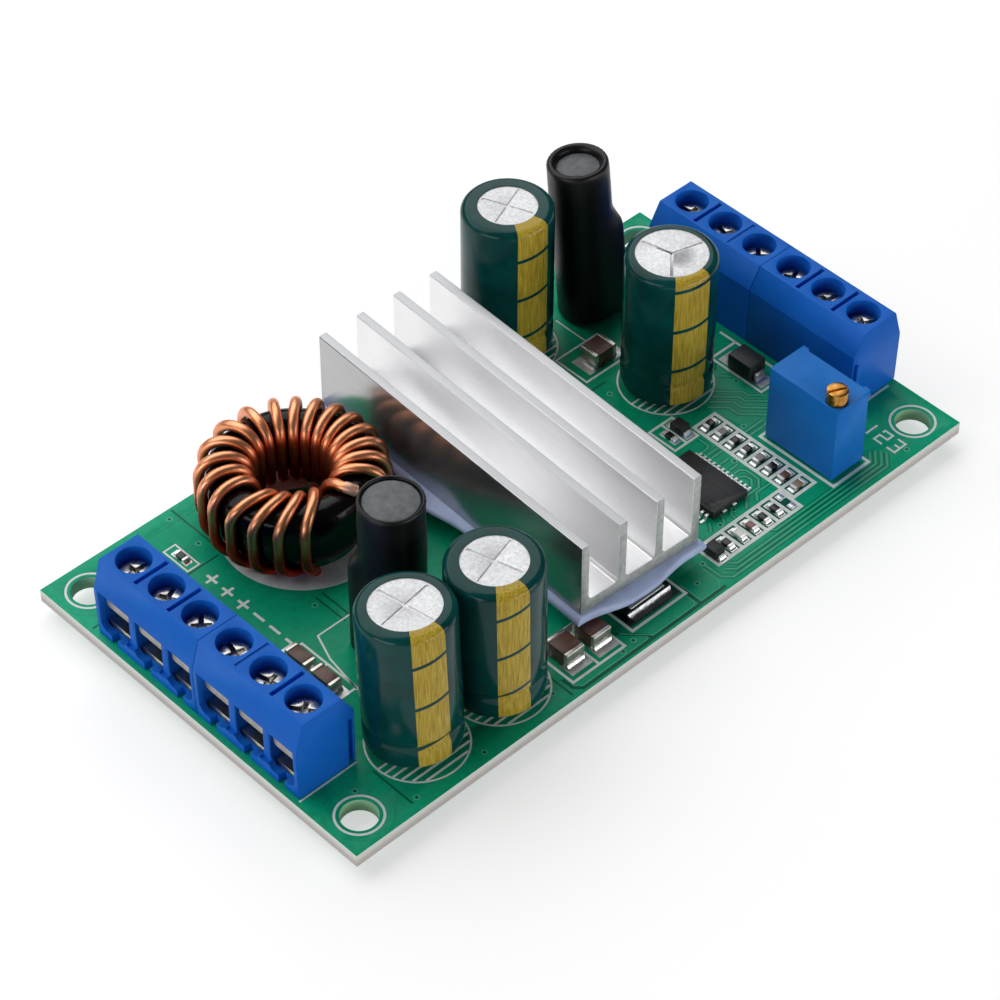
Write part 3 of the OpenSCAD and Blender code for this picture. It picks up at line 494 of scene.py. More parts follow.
def dress(name, mat, bevel=0.0, angle=30.0):
    """Gives a CAD node its material, soft edges and smooth round faces."""
    obj = nodes[name]
    obj.data.materials.clear()
    obj.data.materials.append(mat)
    weld = obj.modifiers.new("weld", "WELD")
    weld.merge_threshold = WELD_M
    obj.data.shade_smooth()
    if bevel:
        soft = obj.modifiers.new("soft_edges", "BEVEL")
        soft.width = bevel * MM
        soft.segments = BEVEL_STEPS
        soft.limit_method = "ANGLE"
        soft.angle_limit = math.radians(angle)
        soft.use_clamp_overlap = True
        soft.harden_normals = True


# Camera, solved from the photograph's board corners, edges and holes; its shift is to the right, up and back
CAMERA_TURN, CAMERA_RISE, CAMERA_ROLL = -43.786, 44.6959, -0.1935
CAMERA_SHIFT = (-1.20058, 0.41429, 360.9219)
FOCAL_PIXELS, PHOTO_PIXELS, SENSOR = 3449.4709, 1000.0, 36.0
CLIP_M = (0.01, 20.0)


def add_camera():
    turn, rise = math.radians(CAMERA_TURN), math.radians(CAMERA_RISE)
    back = Vector((math.sin(turn) * math.cos(rise), -math.cos(turn) * math.cos(rise), math.sin(rise)))
    right = Vector((math.cos(turn), math.sin(turn), 0))
    up = back.cross(right)
    spot = right * CAMERA_SHIFT[0] + up * CAMERA_SHIFT[1] + back * CAMERA_SHIFT[2] + Vector((0, 0, TOP))
    roll = Matrix.Rotation(math.radians(-CAMERA_ROLL), 3, back)
    data = bpy.data.cameras.new("camera")
    data.sensor_width = SENSOR
    data.lens = FOCAL_PIXELS * SENSOR / PHOTO_PIXELS
    data.clip_start, data.clip_end = CLIP_M
    camera = add_object("camera", data)
    place = Matrix((roll @ right, roll @ up, back)).transposed().to_4x4()
    place.translation = spot * MM
    camera.matrix_world = place
    scene.camera = camera


# Floor and light. Lamps: name, place, aim and size in metres, and power in watts
FLOOR_HALF_M = 1.5
FLOOR_GREYS = (0.6, 0.63)
FLOOR_ROUGH = 0.9
FLOOR_GLOW = 0.53
SKY = (0.95, 0.97, 1.0, 1.0)
SKY_STRENGTH = 0.08
LAMPS = (
    ("back", (0, 0.34, 0.46), (0, 0, 0), (1.2, 0.55), 4.3),
    ("left", (-0.55, -0.05, 0.11), (0, 0, 0.01), (0.4, 0.18), 0.85),
    ("front", (0.15, -0.5, 0.11), (0, 0, 0.01), (0.5, 0.18), 1.2),
)


def floor_material():
    """Pale grey that also glows, as white, for the rays that show the background."""
    m = Mat("floor", FLOOR_ROUGH)
    low, high = ((grey, grey, grey) for grey in FLOOR_GREYS)
    m.color(m.ramp(m.noise(0.002), [(0.3, low), (0.7, high)]))
    path = m.node("ShaderNodeLightPath")
    seen = m.math("MAXIMUM", path.outputs["Is Camera Ray"], path.outputs["Is Glossy Ray"])
    seen = m.math("MAXIMUM", seen, path.outputs["Is Transmission Ray"])
    m.link(m.times(seen, FLOOR_GLOW), m.bsdf.inputs["Emission Strength"])
    m.set(Emission_Color=(*WHITE, 1.0))
    return m.mat


def add_floor():
    bm = bmesh.new()
    bmesh.ops.create_grid(bm, x_segments=1, y_segments=1, size=FLOOR_HALF_M)
    mesh = bpy.data.meshes.new("floor")
    bm.to_mesh(mesh)
    bm.free()
    floor = add_object("floor", mesh)
    floor.location.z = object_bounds()[0][2]
    mesh.materials.append(floor_material())


def add_lights():
    world = bpy.data.worlds.new("world")
    scene.world = world
    world.use_nodes = True
    sky = world.node_tree.nodes["Background"]
    sky.inputs["Color"].default_value = SKY
    sky.inputs["Strength"].default_value = SKY_STRENGTH
    for name, place, aim, size, power in LAMPS:
        data = bpy.data.lights.new(name, "AREA")
        data.shape = "RECTANGLE"
        data.size, data.size_y = size
        data.energy = power
        lamp = add_object(name, data)
        lamp.location = place
        lamp.rotation_euler = (Vector(aim) - Vector(place)).to_track_quat("-Z", "Y").to_euler()


# Layers of the board's art: foot and top of each
SUNK = TOP - 0.01
INK = (TOP + 0.002, TOP + 0.022)
RING_INK = (TOP + 0.002, TOP + 0.018)
TRACK = (SUNK, TOP + 0.012)
GAP = (SUNK, TOP + 0.006)
# Layer of the painted highlights along tracks and copper areas
GLINT = (SUNK, TOP + 0.015)
# Layer of painted shade: dark sheets laid on the board where shade falls
SHADE = (SUNK, TOP + 0.001)
LAND = (SUNK, TOP + 0.03)
VIA_RIM = (SUNK, TOP + 0.016)
VIA_EYE = (SUNK, TOP + 0.004)

# Two rows of chips: middle of the first chip, spacing, walls between them and the frames round them
UPPER = (23.7, -6.0)
LOWER = (10.2, -19.6)
STEP = 1.82
UPPER_WALLS, LOWER_WALLS = 7, 6
UPPER_X = (22.15, 25.4)
LOWER_Y = (-21.1, -17.9)
LOWER_END = 21.75
ROW_FRAME, ROW_WALL, ROW_INSET = 0.4, 0.42, 0.2
# Painted shade: dark strips along the chip rows, as X of the upper strip, Y of the lower one, where it ends,
# and width
UPPER_SHADE_X, LOWER_SHADE_Y, SHADE_END, SHADE_W = 23.77, -19.5, 21.6, 2.7

# Printed rings: sides, radius and line at a mounting hole, then centres and hatching at the capacitors
HOLE_SIDES, RING_SIDES = 64, 96
HOLE_RING = (2.45, 0.26)
RINGS = [(-29.5, -17.5), (-18.7, -17.65), (16.9, 17.9), (25.2, 2.1)]
RING_R, RING_LINE = 5.25, 0.2
HATCHES, HATCH_R, HATCH_STEP, HATCH_LINE, HATCH_LEAST = 6, 5.14, 0.86, 0.26, 0.4
TOROID_RING, TOROID_RING_R, TOROID_RING_W = (-18.0, 12.3), 7.5, 3.1
# Radius of a painted shade: a dark disc on the board in the toroid's eye
EYE_SHADE_R = 4.4

# Printed boxes: two corners and the line; twin boxes: corners, place of the wall, line, wall across X
INK_BOXES = (
    (-30.9, 15.75, -29.35, 19.6, 0.2), (-3.75, -21.55, 3.95, -15.6, 0.34),
    (26.35, -21.45, 31.85, -10.9, 0.36), (31.5, -6.2, 35.3, 1.3, 0.3), (18.9, 7.9, 25.3, 12.7, 0.25),
)
INK_TWINS = (
    (-32.3, -8.1, -29.05, 0.1, -3.75, 0.25, False),
    (-13.0, -22.45, -5.75, -16.6, -9.35, 0.3, True),
    (18.15, -6.2, 21.6, -2.35, 19.95, 0.3, True),
)

# Printed lines: line and points
INK_LINES = (
    (0.3, [(35.3, 1.3), (35.3, 3.6)]),
    (0.2, [(23.5, 12.7), (23.5, 17.4)]),
    (0.28, [(36.2, -14.95), (42.3, -14.95)]),
    (0.2, [(-43.0, -15.35), (-35.6, -15.35)]),
    (0.2, [(-29.2, -8.4), (-28.4, -3.4), (-27.2, -0.2), (-20.0, -0.2), (-17.2, -3.4), (-16.4, -8.4)]),
)

# Plus and minus marks beside the near terminals, and digits beside the trimmer, drawn in half heights
SIGNS, SIGN_AT, SIGN_STEP, SIGN_HALF, SIGN_LINE = "+++---", (-29.8, 13.2), 2.45, 0.8, 0.32
DIGITS = (
    ((34.9, -18.9), [[(0.5, 0), (0.5, 2)]]),
    ((34.9, -20.6), [[(0, 1.6), (0, 2), (1, 2), (1, 1), (0, 1), (0, 0), (1, 0)]]),
    ((34.9, -22.4), [[(0, 2), (1, 2), (1, 0), (0, 0)], [(0.3, 1), (0.88, 1)]]),
)
DIGIT_HALF, DIGIT_W, DIGIT_LINE = 0.9, 1.1, 0.24


def plus(bm, c, half, w):
    stroke(bm, [(c[0] - half, c[1]), (c[0] + half, c[1])], w, *INK)
    for side in (-1, 1):
        stroke(bm, [(c[0], c[1] + side * w / 2), (c[0], c[1] + side * half)], w, *INK)


def box(bm, x0, y0, x1, y1, w):
    stroke(bm, rect(x0, y0, x1, y1), w, *INK, closed=True)


def twin_box(bm, x0, y0, x1, y1, split, w, across):
    """Two boxes with one wall between them, which runs across X or along it."""
    box(bm, x0, y0, x1, y1, w)
    if across:
        stroke(bm, [(split, y0 + w / 2), (split, y1 - w / 2)], w, *INK)
    else:
        stroke(bm, [(x0 + w / 2, split), (x1 - w / 2, split)], w, *INK)


def ink_rings(bm):
    """Rings at the mounting holes, and rings at the capacitors with one half hatched."""
    for c in HOLES:
        stroke(bm, circle(c, HOLE_RING[0], HOLE_SIDES), HOLE_RING[1], *INK, closed=True)
    for c in RINGS:
        stroke(bm, circle(c, RING_R, RING_SIDES), RING_LINE, *INK, closed=True)
        for i in range(-HATCHES, 1):
            y = i * HATCH_STEP
            reach = math.sqrt(max(HATCH_R ** 2 - y * y, 0))
            if reach > HATCH_LEAST:
                stroke(bm, [(c[0] - reach, c[1] + y), (c[0] + reach, c[1] + y)], HATCH_LINE, *INK)


def ink_rows(bm):
    """Frames of the two chip rows, with a wall between each chip and the next."""
    x0, x1 = UPPER_X
    box(bm, x0, UPPER[1] - (UPPER_WALLS + 0.5) * STEP, x1, UPPER[1] + 0.5 * STEP, ROW_FRAME)
    for i in range(UPPER_WALLS):
        y = UPPER[1] - (i + 0.5) * STEP
        stroke(bm, [(x0 + ROW_INSET, y), (x1 - ROW_INSET, y)], ROW_WALL, *INK)
    y0, y1 = LOWER_Y
    box(bm, LOWER[0] - 0.5 * STEP, y0, LOWER_END, y1, ROW_FRAME)
    for i in range(LOWER_WALLS):
        x = LOWER[0] + (i + 0.5) * STEP
        stroke(bm, [(x, y0 + ROW_INSET), (x, y1 - ROW_INSET)], ROW_WALL, *INK)


def ink_marks(bm):
    """Plus and minus marks, and the digits 1 to 3."""
    for i, sign in enumerate(SIGNS):
        c = (SIGN_AT[0], SIGN_AT[1] - SIGN_STEP * i)
        if sign == "+":
            plus(bm, c, SIGN_HALF, SIGN_LINE)
        else:
            stroke(bm, [(c[0], c[1] - SIGN_HALF), (c[0], c[1] + SIGN_HALF)], SIGN_LINE, *INK)
    for (x, y), lines in DIGITS:
        for line in lines:
            stroke(bm, [(x + DIGIT_HALF * q, y + DIGIT_W * (1 - p)) for p, q in line], DIGIT_LINE, *INK)


def board_ink():
    bm = bmesh.new()
    ink_rings(bm)
    for one in INK_BOXES:
        box(bm, *one)
    for one in INK_TWINS:
        twin_box(bm, *one)
    ink_rows(bm)
    for w, points in INK_LINES:
        stroke(bm, points, w, *INK)
    stroke(bm, circle(TOROID_RING, TOROID_RING_R, RING_SIDES), TOROID_RING_W, *RING_INK, closed=True)
    ink_marks(bm)
    piece("board_ink", bm, MAT["ink"])


# Tracks under the mask, with a gap beside each and a painted highlight along it
TRACK_W, TRACK_GAP_W, TRACK_GLINT_W = 0.36, 0.54, 0.09
TRACK_RUNS = (
    [(25.6, -3.9), (27.2, -5.5), (27.2, -6.9), (29.4, -9.1)],
    [(26.2, -3.3), (28.2, -5.3), (28.2, -6.4), (30.2, -8.4)],
    [(26.9, -2.8), (29.2, -5.1), (29.2, -5.9), (31.0, -7.7)],
    [(27.7, -2.4), (30.1, -4.8), (30.1, -5.5), (31.4, -6.8)],
    [(25.7, -9.3), (28.4, -9.3)],
    [(25.7, -10.0), (28.0, -10.0), (28.4, -9.7)],
    [(16.8, -21.2), (17.3, -21.65), (31.9, -21.65), (33.0, -20.6)],
    [(10.2, -21.5), (10.9, -22.2), (32.2, -22.2), (33.6, -20.8)],
    [(9.4, -21.9), (10.2, -22.75), (32.5, -22.75), (34.0, -21.3)],
    [(8.25, -20.1), (8.3, -22.4), (9.2, -23.3), (32.8, -23.3), (34.2, -21.9)],
    [(20.1, -8.3), (21.0, -8.3), (21.3, -8.0), (21.3, -6.6)],
    [(20.2, -9.0), (21.8, -9.0)],
    [(20.2, -9.65), (21.8, -9.65)],
    [(20.2, -12.9), (21.0, -12.9), (21.5, -13.4), (21.5, -15.2), (20.6, -16.1), (18.6, -16.1), (17.4, -17.4)],
    [(20.2, -13.6), (20.7, -13.9), (20.9, -14.7), (20.2, -15.5)],
    [(21.9, -16.5), (19.8, -16.5), (19.0, -17.4)],
    [(13.0, -16.2), (12.2, -17.2)],
    [(14.9, -16.1), (14.1, -17.3)],
    [(16.6, -15.9), (15.5, -17.0), (15.5, -17.6)],
    [(20.2, -10.9), (21.4, -10.9)],
    [(20.2, -12.2), (21.6, -12.2)],
    [(30.0, -1.2), (31.0, -2.3)],
)

# Arcs of copper round the mounting holes: radius, line, steps, first angles and span
HOLE_ARC_R, HOLE_ARC_LINE, HOLE_ARC_STEPS, HOLE_ARCS, HOLE_ARC_SPAN = 3.45, 0.12, 16, (20, 110, 200, 290), 55

# Gaps between copper areas
GAP_W = 0.22
GAP_RUNS = (
    [(-31.2, 15.4), (-27.0, 15.4)], [(-23.8, -0.6), (-23.8, 4.0)], [(-22.9, -0.6), (-22.9, 4.0)],
    [(-26.4, 15.4), (-26.4, 23.8)], [(-14.2, -23.6), (-14.2, -16.0)], [(18.0, 6.6), (18.0, 12.0)],
    [(17.9, 6.6), (20.4, 6.6)], [(30.4, -0.4), (31.2, 0.4)], [(-35.2, -17.3), (-35.2, -23.0)],
    [(-43.0, 16.2), (-36.0, 16.2)], [(-36.0, 16.2), (-31.6, 20.5)], [(36.0, 16.6), (43.0, 16.6)],
    [(26.0, 8.0), (35.5, 8.0)],
)

# Copper areas along the near edge: the gaps round them and painted highlights along their edges
AREA_GAP_W, AREA_GLINT_W = 0.38, 0.11
AREA_GAPS = (
    [(-13.5, -21.4), (-13.5, -22.9), (-12.75, -23.65), (7.7, -23.65)],
    [(-5.3, -20.6), (-2.95, -23.05), (-2.95, -23.46)],
    [(4.05, -19.5), (4.05, -23.46)],
)
AREA_GLINTS = (
    [(7.66, -20.4), (7.66, -22.7), (7.05, -23.36), (4.36, -23.36), (4.36, -20.4)],
    [(3.7, -21.9), (3.7, -23.0), (3.4, -23.36), (-2.6, -23.36), (-5.0, -20.9)],
    [(-3.3, -23.1), (-3.5, -23.36), (-12.6, -23.36), (-13.2, -22.75), (-13.2, -21.6)],
)


def board_tracks():
    light, dark, glint = bmesh.new(), bmesh.new(), bmesh.new()
    for run in TRACK_RUNS:
        stroke(light, run, TRACK_W, *TRACK)
        stroke(dark, run, TRACK_GAP_W, *GAP)
        # Painted highlight along the track
        stroke(glint, run, TRACK_GLINT_W, *GLINT)
    for c in HOLES:
        for a in HOLE_ARCS:
            arc = circle(c, HOLE_ARC_R, HOLE_ARC_STEPS, a, a + HOLE_ARC_SPAN)
            stroke(light, arc, HOLE_ARC_LINE, *TRACK)
    for run in GAP_RUNS:
        stroke(dark, run, GAP_W, *GAP)
    for run in AREA_GAPS:
        stroke(dark, run, AREA_GAP_W, *GAP)
    # Painted highlights along the copper areas
    for run in AREA_GLINTS:
        stroke(glint, run, AREA_GLINT_W, *GLINT)
    # Painted shade: dark strips along the two chip rows
    first, last = UPPER[1] + 0.4 * STEP, UPPER[1] - (UPPER_WALLS + 0.4) * STEP
    stroke(dark, [(UPPER_SHADE_X, first), (UPPER_SHADE_X, last)], SHADE_W, *SHADE)
    stroke(dark, [(LOWER[0] - 0.4 * STEP, LOWER_SHADE_Y), (SHADE_END, LOWER_SHADE_Y)], SHADE_W, *SHADE)
    # Painted shade: a dark disc in the toroid's eye
    prism(dark, circle(TOROID, EYE_SHADE_R), *SHADE)
    piece("tracks", light, MAT["trace"])
    piece("track_gaps_and_shade", dark, MAT["gap"])
    piece("track_glints", glint, MAT["rim"])


# Vias: places, radius and line of the rim, and radius of the eye
VIAS = (
    (-27.4, 22.9), (-27.5, 18.1), (5.8, -21.4), (-34.4, -22.7), (-15.5, -22.1), (-4.6, -22.5), (-25.7, -23.0),
    (30.8, -3.1), (26.2, -8.6), (16.2, -16.6), (14.8, -16.4), (36.2, -23.0), (21.6, -11.6), (13.6, -17.2),
    (-24.6, 3.2), (-38.2, -18.0), (9.2, 14.2), (-6.4, -22.9), (19.4, 4.9), (33.6, 9.4), (8.22, -19.85),
)
VIA_R, VIA_LINE, VIA_EYE_R, VIA_SIDES = 0.27, 0.16, 0.2, 20


def board_vias():
    rim, eye = bmesh.new(), bmesh.new()
    for c in VIAS:
        stroke(rim, circle(c, VIA_R, VIA_SIDES), VIA_LINE, *VIA_RIM, closed=True)
        prism(eye, circle(c, VIA_EYE_R, VIA_SIDES), *VIA_EYE)
    piece("via_rims", rim, MAT["rim"])
    piece("via_eyes", eye, MAT["gap"])


# Chip parts: kind, x, y, turn and length, width, height
CHIP = (1.6, 0.8, 0.5)
DIODE = (2.4, 1.5, 1.1)
LARGE_DIODE = (4.4, 2.5, 2.1)
LARGE_CERAMIC = (3.2, 2.5, 1.9)
SLIM_CERAMIC = (3.2, 1.6, 1.4)
SHUNT = (3.2, 6.2, 0.9)
UPPER_KINDS = ("res", "cer_grey", "res", "res", "cer_grey", "res", "cer_brown", "cer_tan")
LOWER_KINDS = ("dio", "res", "lamp", "cer_pink", "res", "res")
LARGE_CERAMICS = ((22.6, 9.9, 0), (-11.0, -19.15, 90), (-7.3, -19.25, 90))
CHIPS = [(kind, UPPER[0], UPPER[1] - i * STEP, 0, CHIP) for i, kind in enumerate(UPPER_KINDS)]
CHIPS += [(kind, LOWER[0] + i * STEP, LOWER[1], 90, DIODE if kind == "dio" else CHIP)
          for i, kind in enumerate(LOWER_KINDS)]
CHIPS += [("cer_brown", x, y, turn, LARGE_CERAMIC) for x, y, turn in LARGE_CERAMICS]
CHIPS += [("cer_brown", NEAR_X + 8.6, y, 90, SLIM_CERAMIC) for y in (-1.8, -5.6)]
CHIPS += [
    ("res", TOROID[0] - 12.2, 17.65, 90, CHIP), ("res", 19.2, -4.4, 90, CHIP), ("dio", 20.8, -4.3, 90, DIODE),
    ("dio", FAR_X - 7.4, -2.6, 90, LARGE_DIODE), ("shu", 0.1, -18.5, 90, SHUNT),
]

# Material and slot of each kind, if they aren't those of a ceramic, and the node that a kind replaces
CHIP_LOOKS = {
    "res": ("glaze", "resistor_body"), "dio": ("black", "moulding_compound"),
    "lamp": ("lamp", "moulding_compound"), "shu": ("shunt", "shunt_body"),
}
CHIP_NODES = {
    "res": "chip_resistors", "dio": "diodes", "cer_brown": "ceramic_capacitors", "shu": "shunt_resistor",
}

# Metal end, solder and land of small and of big chips: the rise is a share of the end's height
BIG_L = 3.0
SMALL = {"end": 0.35, "solder": 0.34, "rise": 0.62, "land": 0.42, "land_more": 0.12}
BIG = {"end": 0.55, "solder": 0.4, "rise": 0.24, "land": 1.05, "land_more": 0.4}
END_SOFT_MOST, END_SOFT_SHARE, END_STEPS = 0.14, 0.12, 3
SOLDER_W = 0.96
LAND_UNDER = 0.2
DIODE_END = (0.62, 0.5)

# Bodies: foot above the board and soft edge, and how far they stay inside their sizes
BODY, DIODE_BODY = (0.03, 0.04), (0.1, 0.12)
BODY_IN, BODY_DOWN = 0.04, 0.02

# Empty place at the lower row's end: its lands, and the size, soft edge and foot of its solder
EMPTY_Y, EMPTY_HALF, EMPTY_W = (-18.7, -20.4), 0.45, 0.85
EMPTY_SOLDER, EMPTY_SOFT, EMPTY_FOOT = (0.7, 0.65, 0.14), 0.06, 0.02

# The shunt: its strips, the solder land that fills its frame, its solder wedges and its body's ends
SHUNT_STRIP, SHUNT_STRIP_IN, SHUNT_STRIP_Z, SHUNT_STRIP_DOWN = (0.5, 4.9), 0.45, 0.1, 0.06
SHUNT_SOFT = 0.1
SHUNT_LAND_HALF, SHUNT_LAND_MORE = 2.6, 0.9
SHUNT_RISE, SHUNT_SOLDER, SHUNT_SOLDER_W = 0.6, 0.85, 0.98
SHUNT_END = 0.05

# Solder wedge: steps and power of its curve, how far it narrows, and how far it reaches into the chip
WEDGE_STEPS, WEDGE_POWER, WEDGE_TAPER, WEDGE_BITE = (0, 0.15, 0.35, 0.6, 1.0), 2.2, 0.12, 0.02


def wedge(bm, mid, turn, start, w, rise, reach):
    """Concave solder wedge at a chip's end."""
    along, aside = Vector(polar(1.0, turn)), Vector(polar(1.0, turn + 90))
    rows = []
    for side in (-1, 1):
        row = []
        for t in WEDGE_STEPS:
            half = side * w / 2 * (1 - WEDGE_TAPER * t)
            p = Vector(mid) + along * (start + reach * t - WEDGE_BITE) + aside * half
            row.append(bm.verts.new((p.x, p.y, TOP + rise * (1 - t) ** WEDGE_POWER + WEDGE_BITE)))
        outer = Vector(mid) + along * (start + reach) + aside * (side * w / 2 * (1 - WEDGE_TAPER))
        inner = Vector(mid) + along * (start - WEDGE_BITE) + aside * (side * w / 2)
        row += [bm.verts.new((foot.x, foot.y, TOP)) for foot in (outer, inner)]
        rows.append(row)
    join(bm, rows)
    bm.faces.new(rows[0][::-1])
    bm.faces.new(rows[1])


def chip_body(bm, kind, x, y, turn, size):
    l, w, h = size
    foot, soft = DIODE_BODY if kind == "dio" else BODY
    end = SHUNT_END if kind == "shu" else (BIG if l > BIG_L else SMALL)["end"]
    block(bm, (x, y, TOP + foot), (l - 2 * end, w - BODY_IN, h - foot - BODY_DOWN), turn, soft)


def shunt_metal(strips, solder, x, y, turn):
    l, w, h = SHUNT
    ends = [(x, y - SHUNT_LAND_HALF), (x, y + SHUNT_LAND_HALF)]
    stroke(solder, ends, w + SHUNT_LAND_MORE, *LAND)
    for facing in (turn, turn + 180):
        dx, dy = polar(l / 2 - SHUNT_STRIP_IN, facing)
        size = (*SHUNT_STRIP, h - SHUNT_STRIP_DOWN)
        block(strips, (x + dx, y + dy, TOP + SHUNT_STRIP_Z), size, turn, SHUNT_SOFT, END_STEPS)
        wedge(solder, (x, y), facing, l / 2, w * SHUNT_SOLDER_W, SHUNT_RISE, SHUNT_SOLDER)


def chip_metal(caps, solder, lands, kind, x, y, turn, size):
    l, w, h = size
    sizes = BIG if l > BIG_L else SMALL
    end, soft = sizes["end"], min(END_SOFT_MOST, END_SOFT_SHARE * h)
    if kind == "dio":
        w *= DIODE_END[0]
        h *= DIODE_END[1]
    for facing in (turn, turn + 180):
        dx, dy = polar(1.0, facing)
        mid = l / 2 - end / 2
        block(caps, (x + mid * dx, y + mid * dy, TOP), (end, w, h), turn, soft, END_STEPS)
        wedge(solder, (x, y), facing, l / 2, w * SOLDER_W, h * sizes["rise"], sizes["solder"])
        first, last = l / 2 - end - LAND_UNDER, l / 2 + sizes["land"]
        ends = [(x + first * dx, y + first * dy), (x + last * dx, y + last * dy)]
        stroke(lands, ends, w + sizes["land_more"], *LAND)


def chip_pieces():
    bodies, caps, solder, lands, shunt_solder = {}, bmesh.new(), bmesh.new(), bmesh.new(), bmesh.new()
    big_caps, big_lands = bmesh.new(), bmesh.new()
    for kind, x, y, turn, size in CHIPS:
        chip_body(bodies.setdefault(kind, bmesh.new()), kind, x, y, turn, size)
        if kind == "shu":
            shunt_metal(caps, shunt_solder, x, y, turn)
        elif size[0] > BIG_L:
            chip_metal(big_caps, solder, big_lands, kind, x, y, turn, size)
        else:
            chip_metal(caps, solder, lands, kind, x, y, turn, size)
    x = LOWER[0] + LOWER_WALLS * STEP
    for y in EMPTY_Y:
        stroke(lands, [(x - EMPTY_HALF, y), (x + EMPTY_HALF, y)], EMPTY_W, *LAND)
        block(solder, (x, y, TOP + EMPTY_FOOT), EMPTY_SOLDER, 0, EMPTY_SOFT)
    for kind, bm in bodies.items():
        mat, slot = CHIP_LOOKS.get(kind, (kind, "ceramic_body"))
        obj = piece("chips_" + kind, bm, MAT[mat], 40)
        if kind in CHIP_NODES:
            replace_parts(obj, CHIP_NODES[kind])
    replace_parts(piece("chip_ends", caps, MAT["tin"], 40), "chip_terminations")
    piece("chip_fillets", solder, MAT["solder"], 60)
    piece("shunt_fillets", shunt_solder, MAT["dull"], 60)
    piece("chip_pads", lands, MAT["tin"])
    piece("big_chip_ends", big_caps, MAT["cap_metal"], 40)
    piece("big_chip_pads", big_lands, MAT["land"])


# Toroid winding, on the same path as the solid: runs of turns as first angle, count and step
WIRE = 1.15
CORE_OD, CORE_ID, CORE_H, CORE_R = 18.1, 10.2, 7.2, 1.8
WIND_GAP = 0.08
CORE_Z = TOP + 0.1 + WIRE + WIND_GAP
OUTER_RUNS = ((-124, 4, -16), (-188, 3, -15.5), (-238, 4, -20.3), (-314, 8, -14.2))
INNER_RUNS = ((-103, 4, -16.5), (-189, 3, -18.5), (-245, 4, -16.8), (-312.2, 8, -16))
STUB = -84.0
BEND = CORE_R + WIND_GAP + WIRE / 2
BEND_STEPS = 7
MID_OUT, MID_IN = CORE_OD / 2 - CORE_R, CORE_ID / 2 + CORE_R
WIRE_OUT, WIRE_IN = CORE_OD / 2 + WIND_GAP + WIRE / 2, CORE_ID / 2 - WIND_GAP - WIRE / 2
SHOULDER = CORE_H - CORE_R
LEAD_LOW = -LEAD_OUT - CORE_Z
# First lead: how far inside and ahead of the first turn it rises, its levels, its knee as radius, height and
# angle, and its first bend, which sweeps back to the first turn
START_IN, START_TURN = 1.7, 8
START_LEVELS, START_KNEE = (LEAD_LOW, -2.0, -1.3), (0.15, -0.75, -1)
START_BEND, START_LAG, START_SWEEP = (303, 360), 3, 5
EXIT_TURN, EXIT_BEND = 14, 0.6
# Cut end: levels in the eye, then radius, height and angle on the core, from the end of the enamel
STUB_LEVELS = (LEAD_LOW, 0.0, 3.0)
STUB_REST = ((0.3, 0.1, 1), (0.7, 0.1, 2), (1.0, 0.0, 3), (WIRE_OUT - 1.5 - MID_IN, -0.25, 5))
BARE_THICKER = 1.08


def at_core(r, z, a):
    """Place at a radius, height and angle of the core."""
    x, y = polar(r, a)
    return (TOROID[0] + x, TOROID[1] + y, CORE_Z + z)


def bent(r, z, a0, a1, rad=BEND):
    """Radius and height of points on a bend."""
    spots = [polar(rad, a0 + (a1 - a0) * i / BEND_STEPS) for i in range(BEND_STEPS + 1)]
    return [(r + x, z + y) for x, y in spots]


def between(profile, a, b):
    """Profile points whose angle goes from a on the outside to b on the inside."""
    return [at_core(r, z, a + (b - a) * (WIRE_OUT - r) / (WIRE_OUT - WIRE_IN)) for r, z in profile]


def wire_piece(name, path, r, mat):
    bm = bmesh.new()
    tube(bm, path, r)
    return piece(name, bm, MAT[mat], 60)


def winding():
    outer = [a + i * s for a, n, s in OUTER_RUNS for i in range(n)]
    inner = [a + i * s for a, n, s in INNER_RUNS for i in range(n)]
    exit_at = outer[-1] - EXIT_TURN
    start_r, start_a = WIRE_OUT - START_IN, outer[0] + START_TURN
    path = [at_core(start_r, z, start_a) for z in START_LEVELS]
    path.append(at_core(start_r + START_KNEE[0], START_KNEE[1], start_a + START_KNEE[2]))
    for k, (r, z) in enumerate(bent(MID_OUT, CORE_R, *START_BEND)):
        path.append(at_core(r, z, start_a - START_LAG - START_SWEEP * k / BEND_STEPS))
    path.append(at_core(WIRE_OUT, CORE_H / 2, outer[0]))
    for a, b, after in zip(outer, inner, outer[1:] + [exit_at]):
        path += between(bent(MID_OUT, SHOULDER, 0, 90) + bent(MID_IN, SHOULDER, 90, 180), a, b)
        if after == exit_at:
            under = bent(WIRE_OUT - EXIT_BEND, CORE_R - BEND - EXIT_BEND, 90, 0, EXIT_BEND)
        else:
            under = bent(MID_OUT, CORE_R, 270, 360)
        path += between(bent(MID_IN, CORE_R, 180, 270) + under, after, b)
    path.append(at_core(WIRE_OUT, LEAD_LOW, exit_at))
    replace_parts(wire_piece("winding", path, WIRE / 2, "copper"), "toroid_winding")


def winding_stub():
    """Cut end of the wire, which comes up through the eye and lies bare on the core."""
    bare = [at_core(MID_IN + r, CORE_H + WIRE / 2 + z, STUB + a) for r, z, a in STUB_REST]
    stub = [at_core(WIRE_IN, z, STUB) for z in STUB_LEVELS]
    stub += [at_core(r, z, STUB) for r, z in bent(MID_IN, SHOULDER, 180, 90)]
    wire_piece("stub", stub + bare[:1], WIRE / 2, "copper")
    wire_piece("stub_end", bare, WIRE / 2 * BARE_THICKER, "bare")


# Rod inductors: place, turn, lean, direction of the lean and height of the foot
RODS = (((-22.3, -6.35), 136.2, 0.0, 0.0, 0.25), ((27.55, 16.45), -43.8, 4.9, 112.0, 0.6))
ROD_H, ROD_SIDES = 20.5, 72
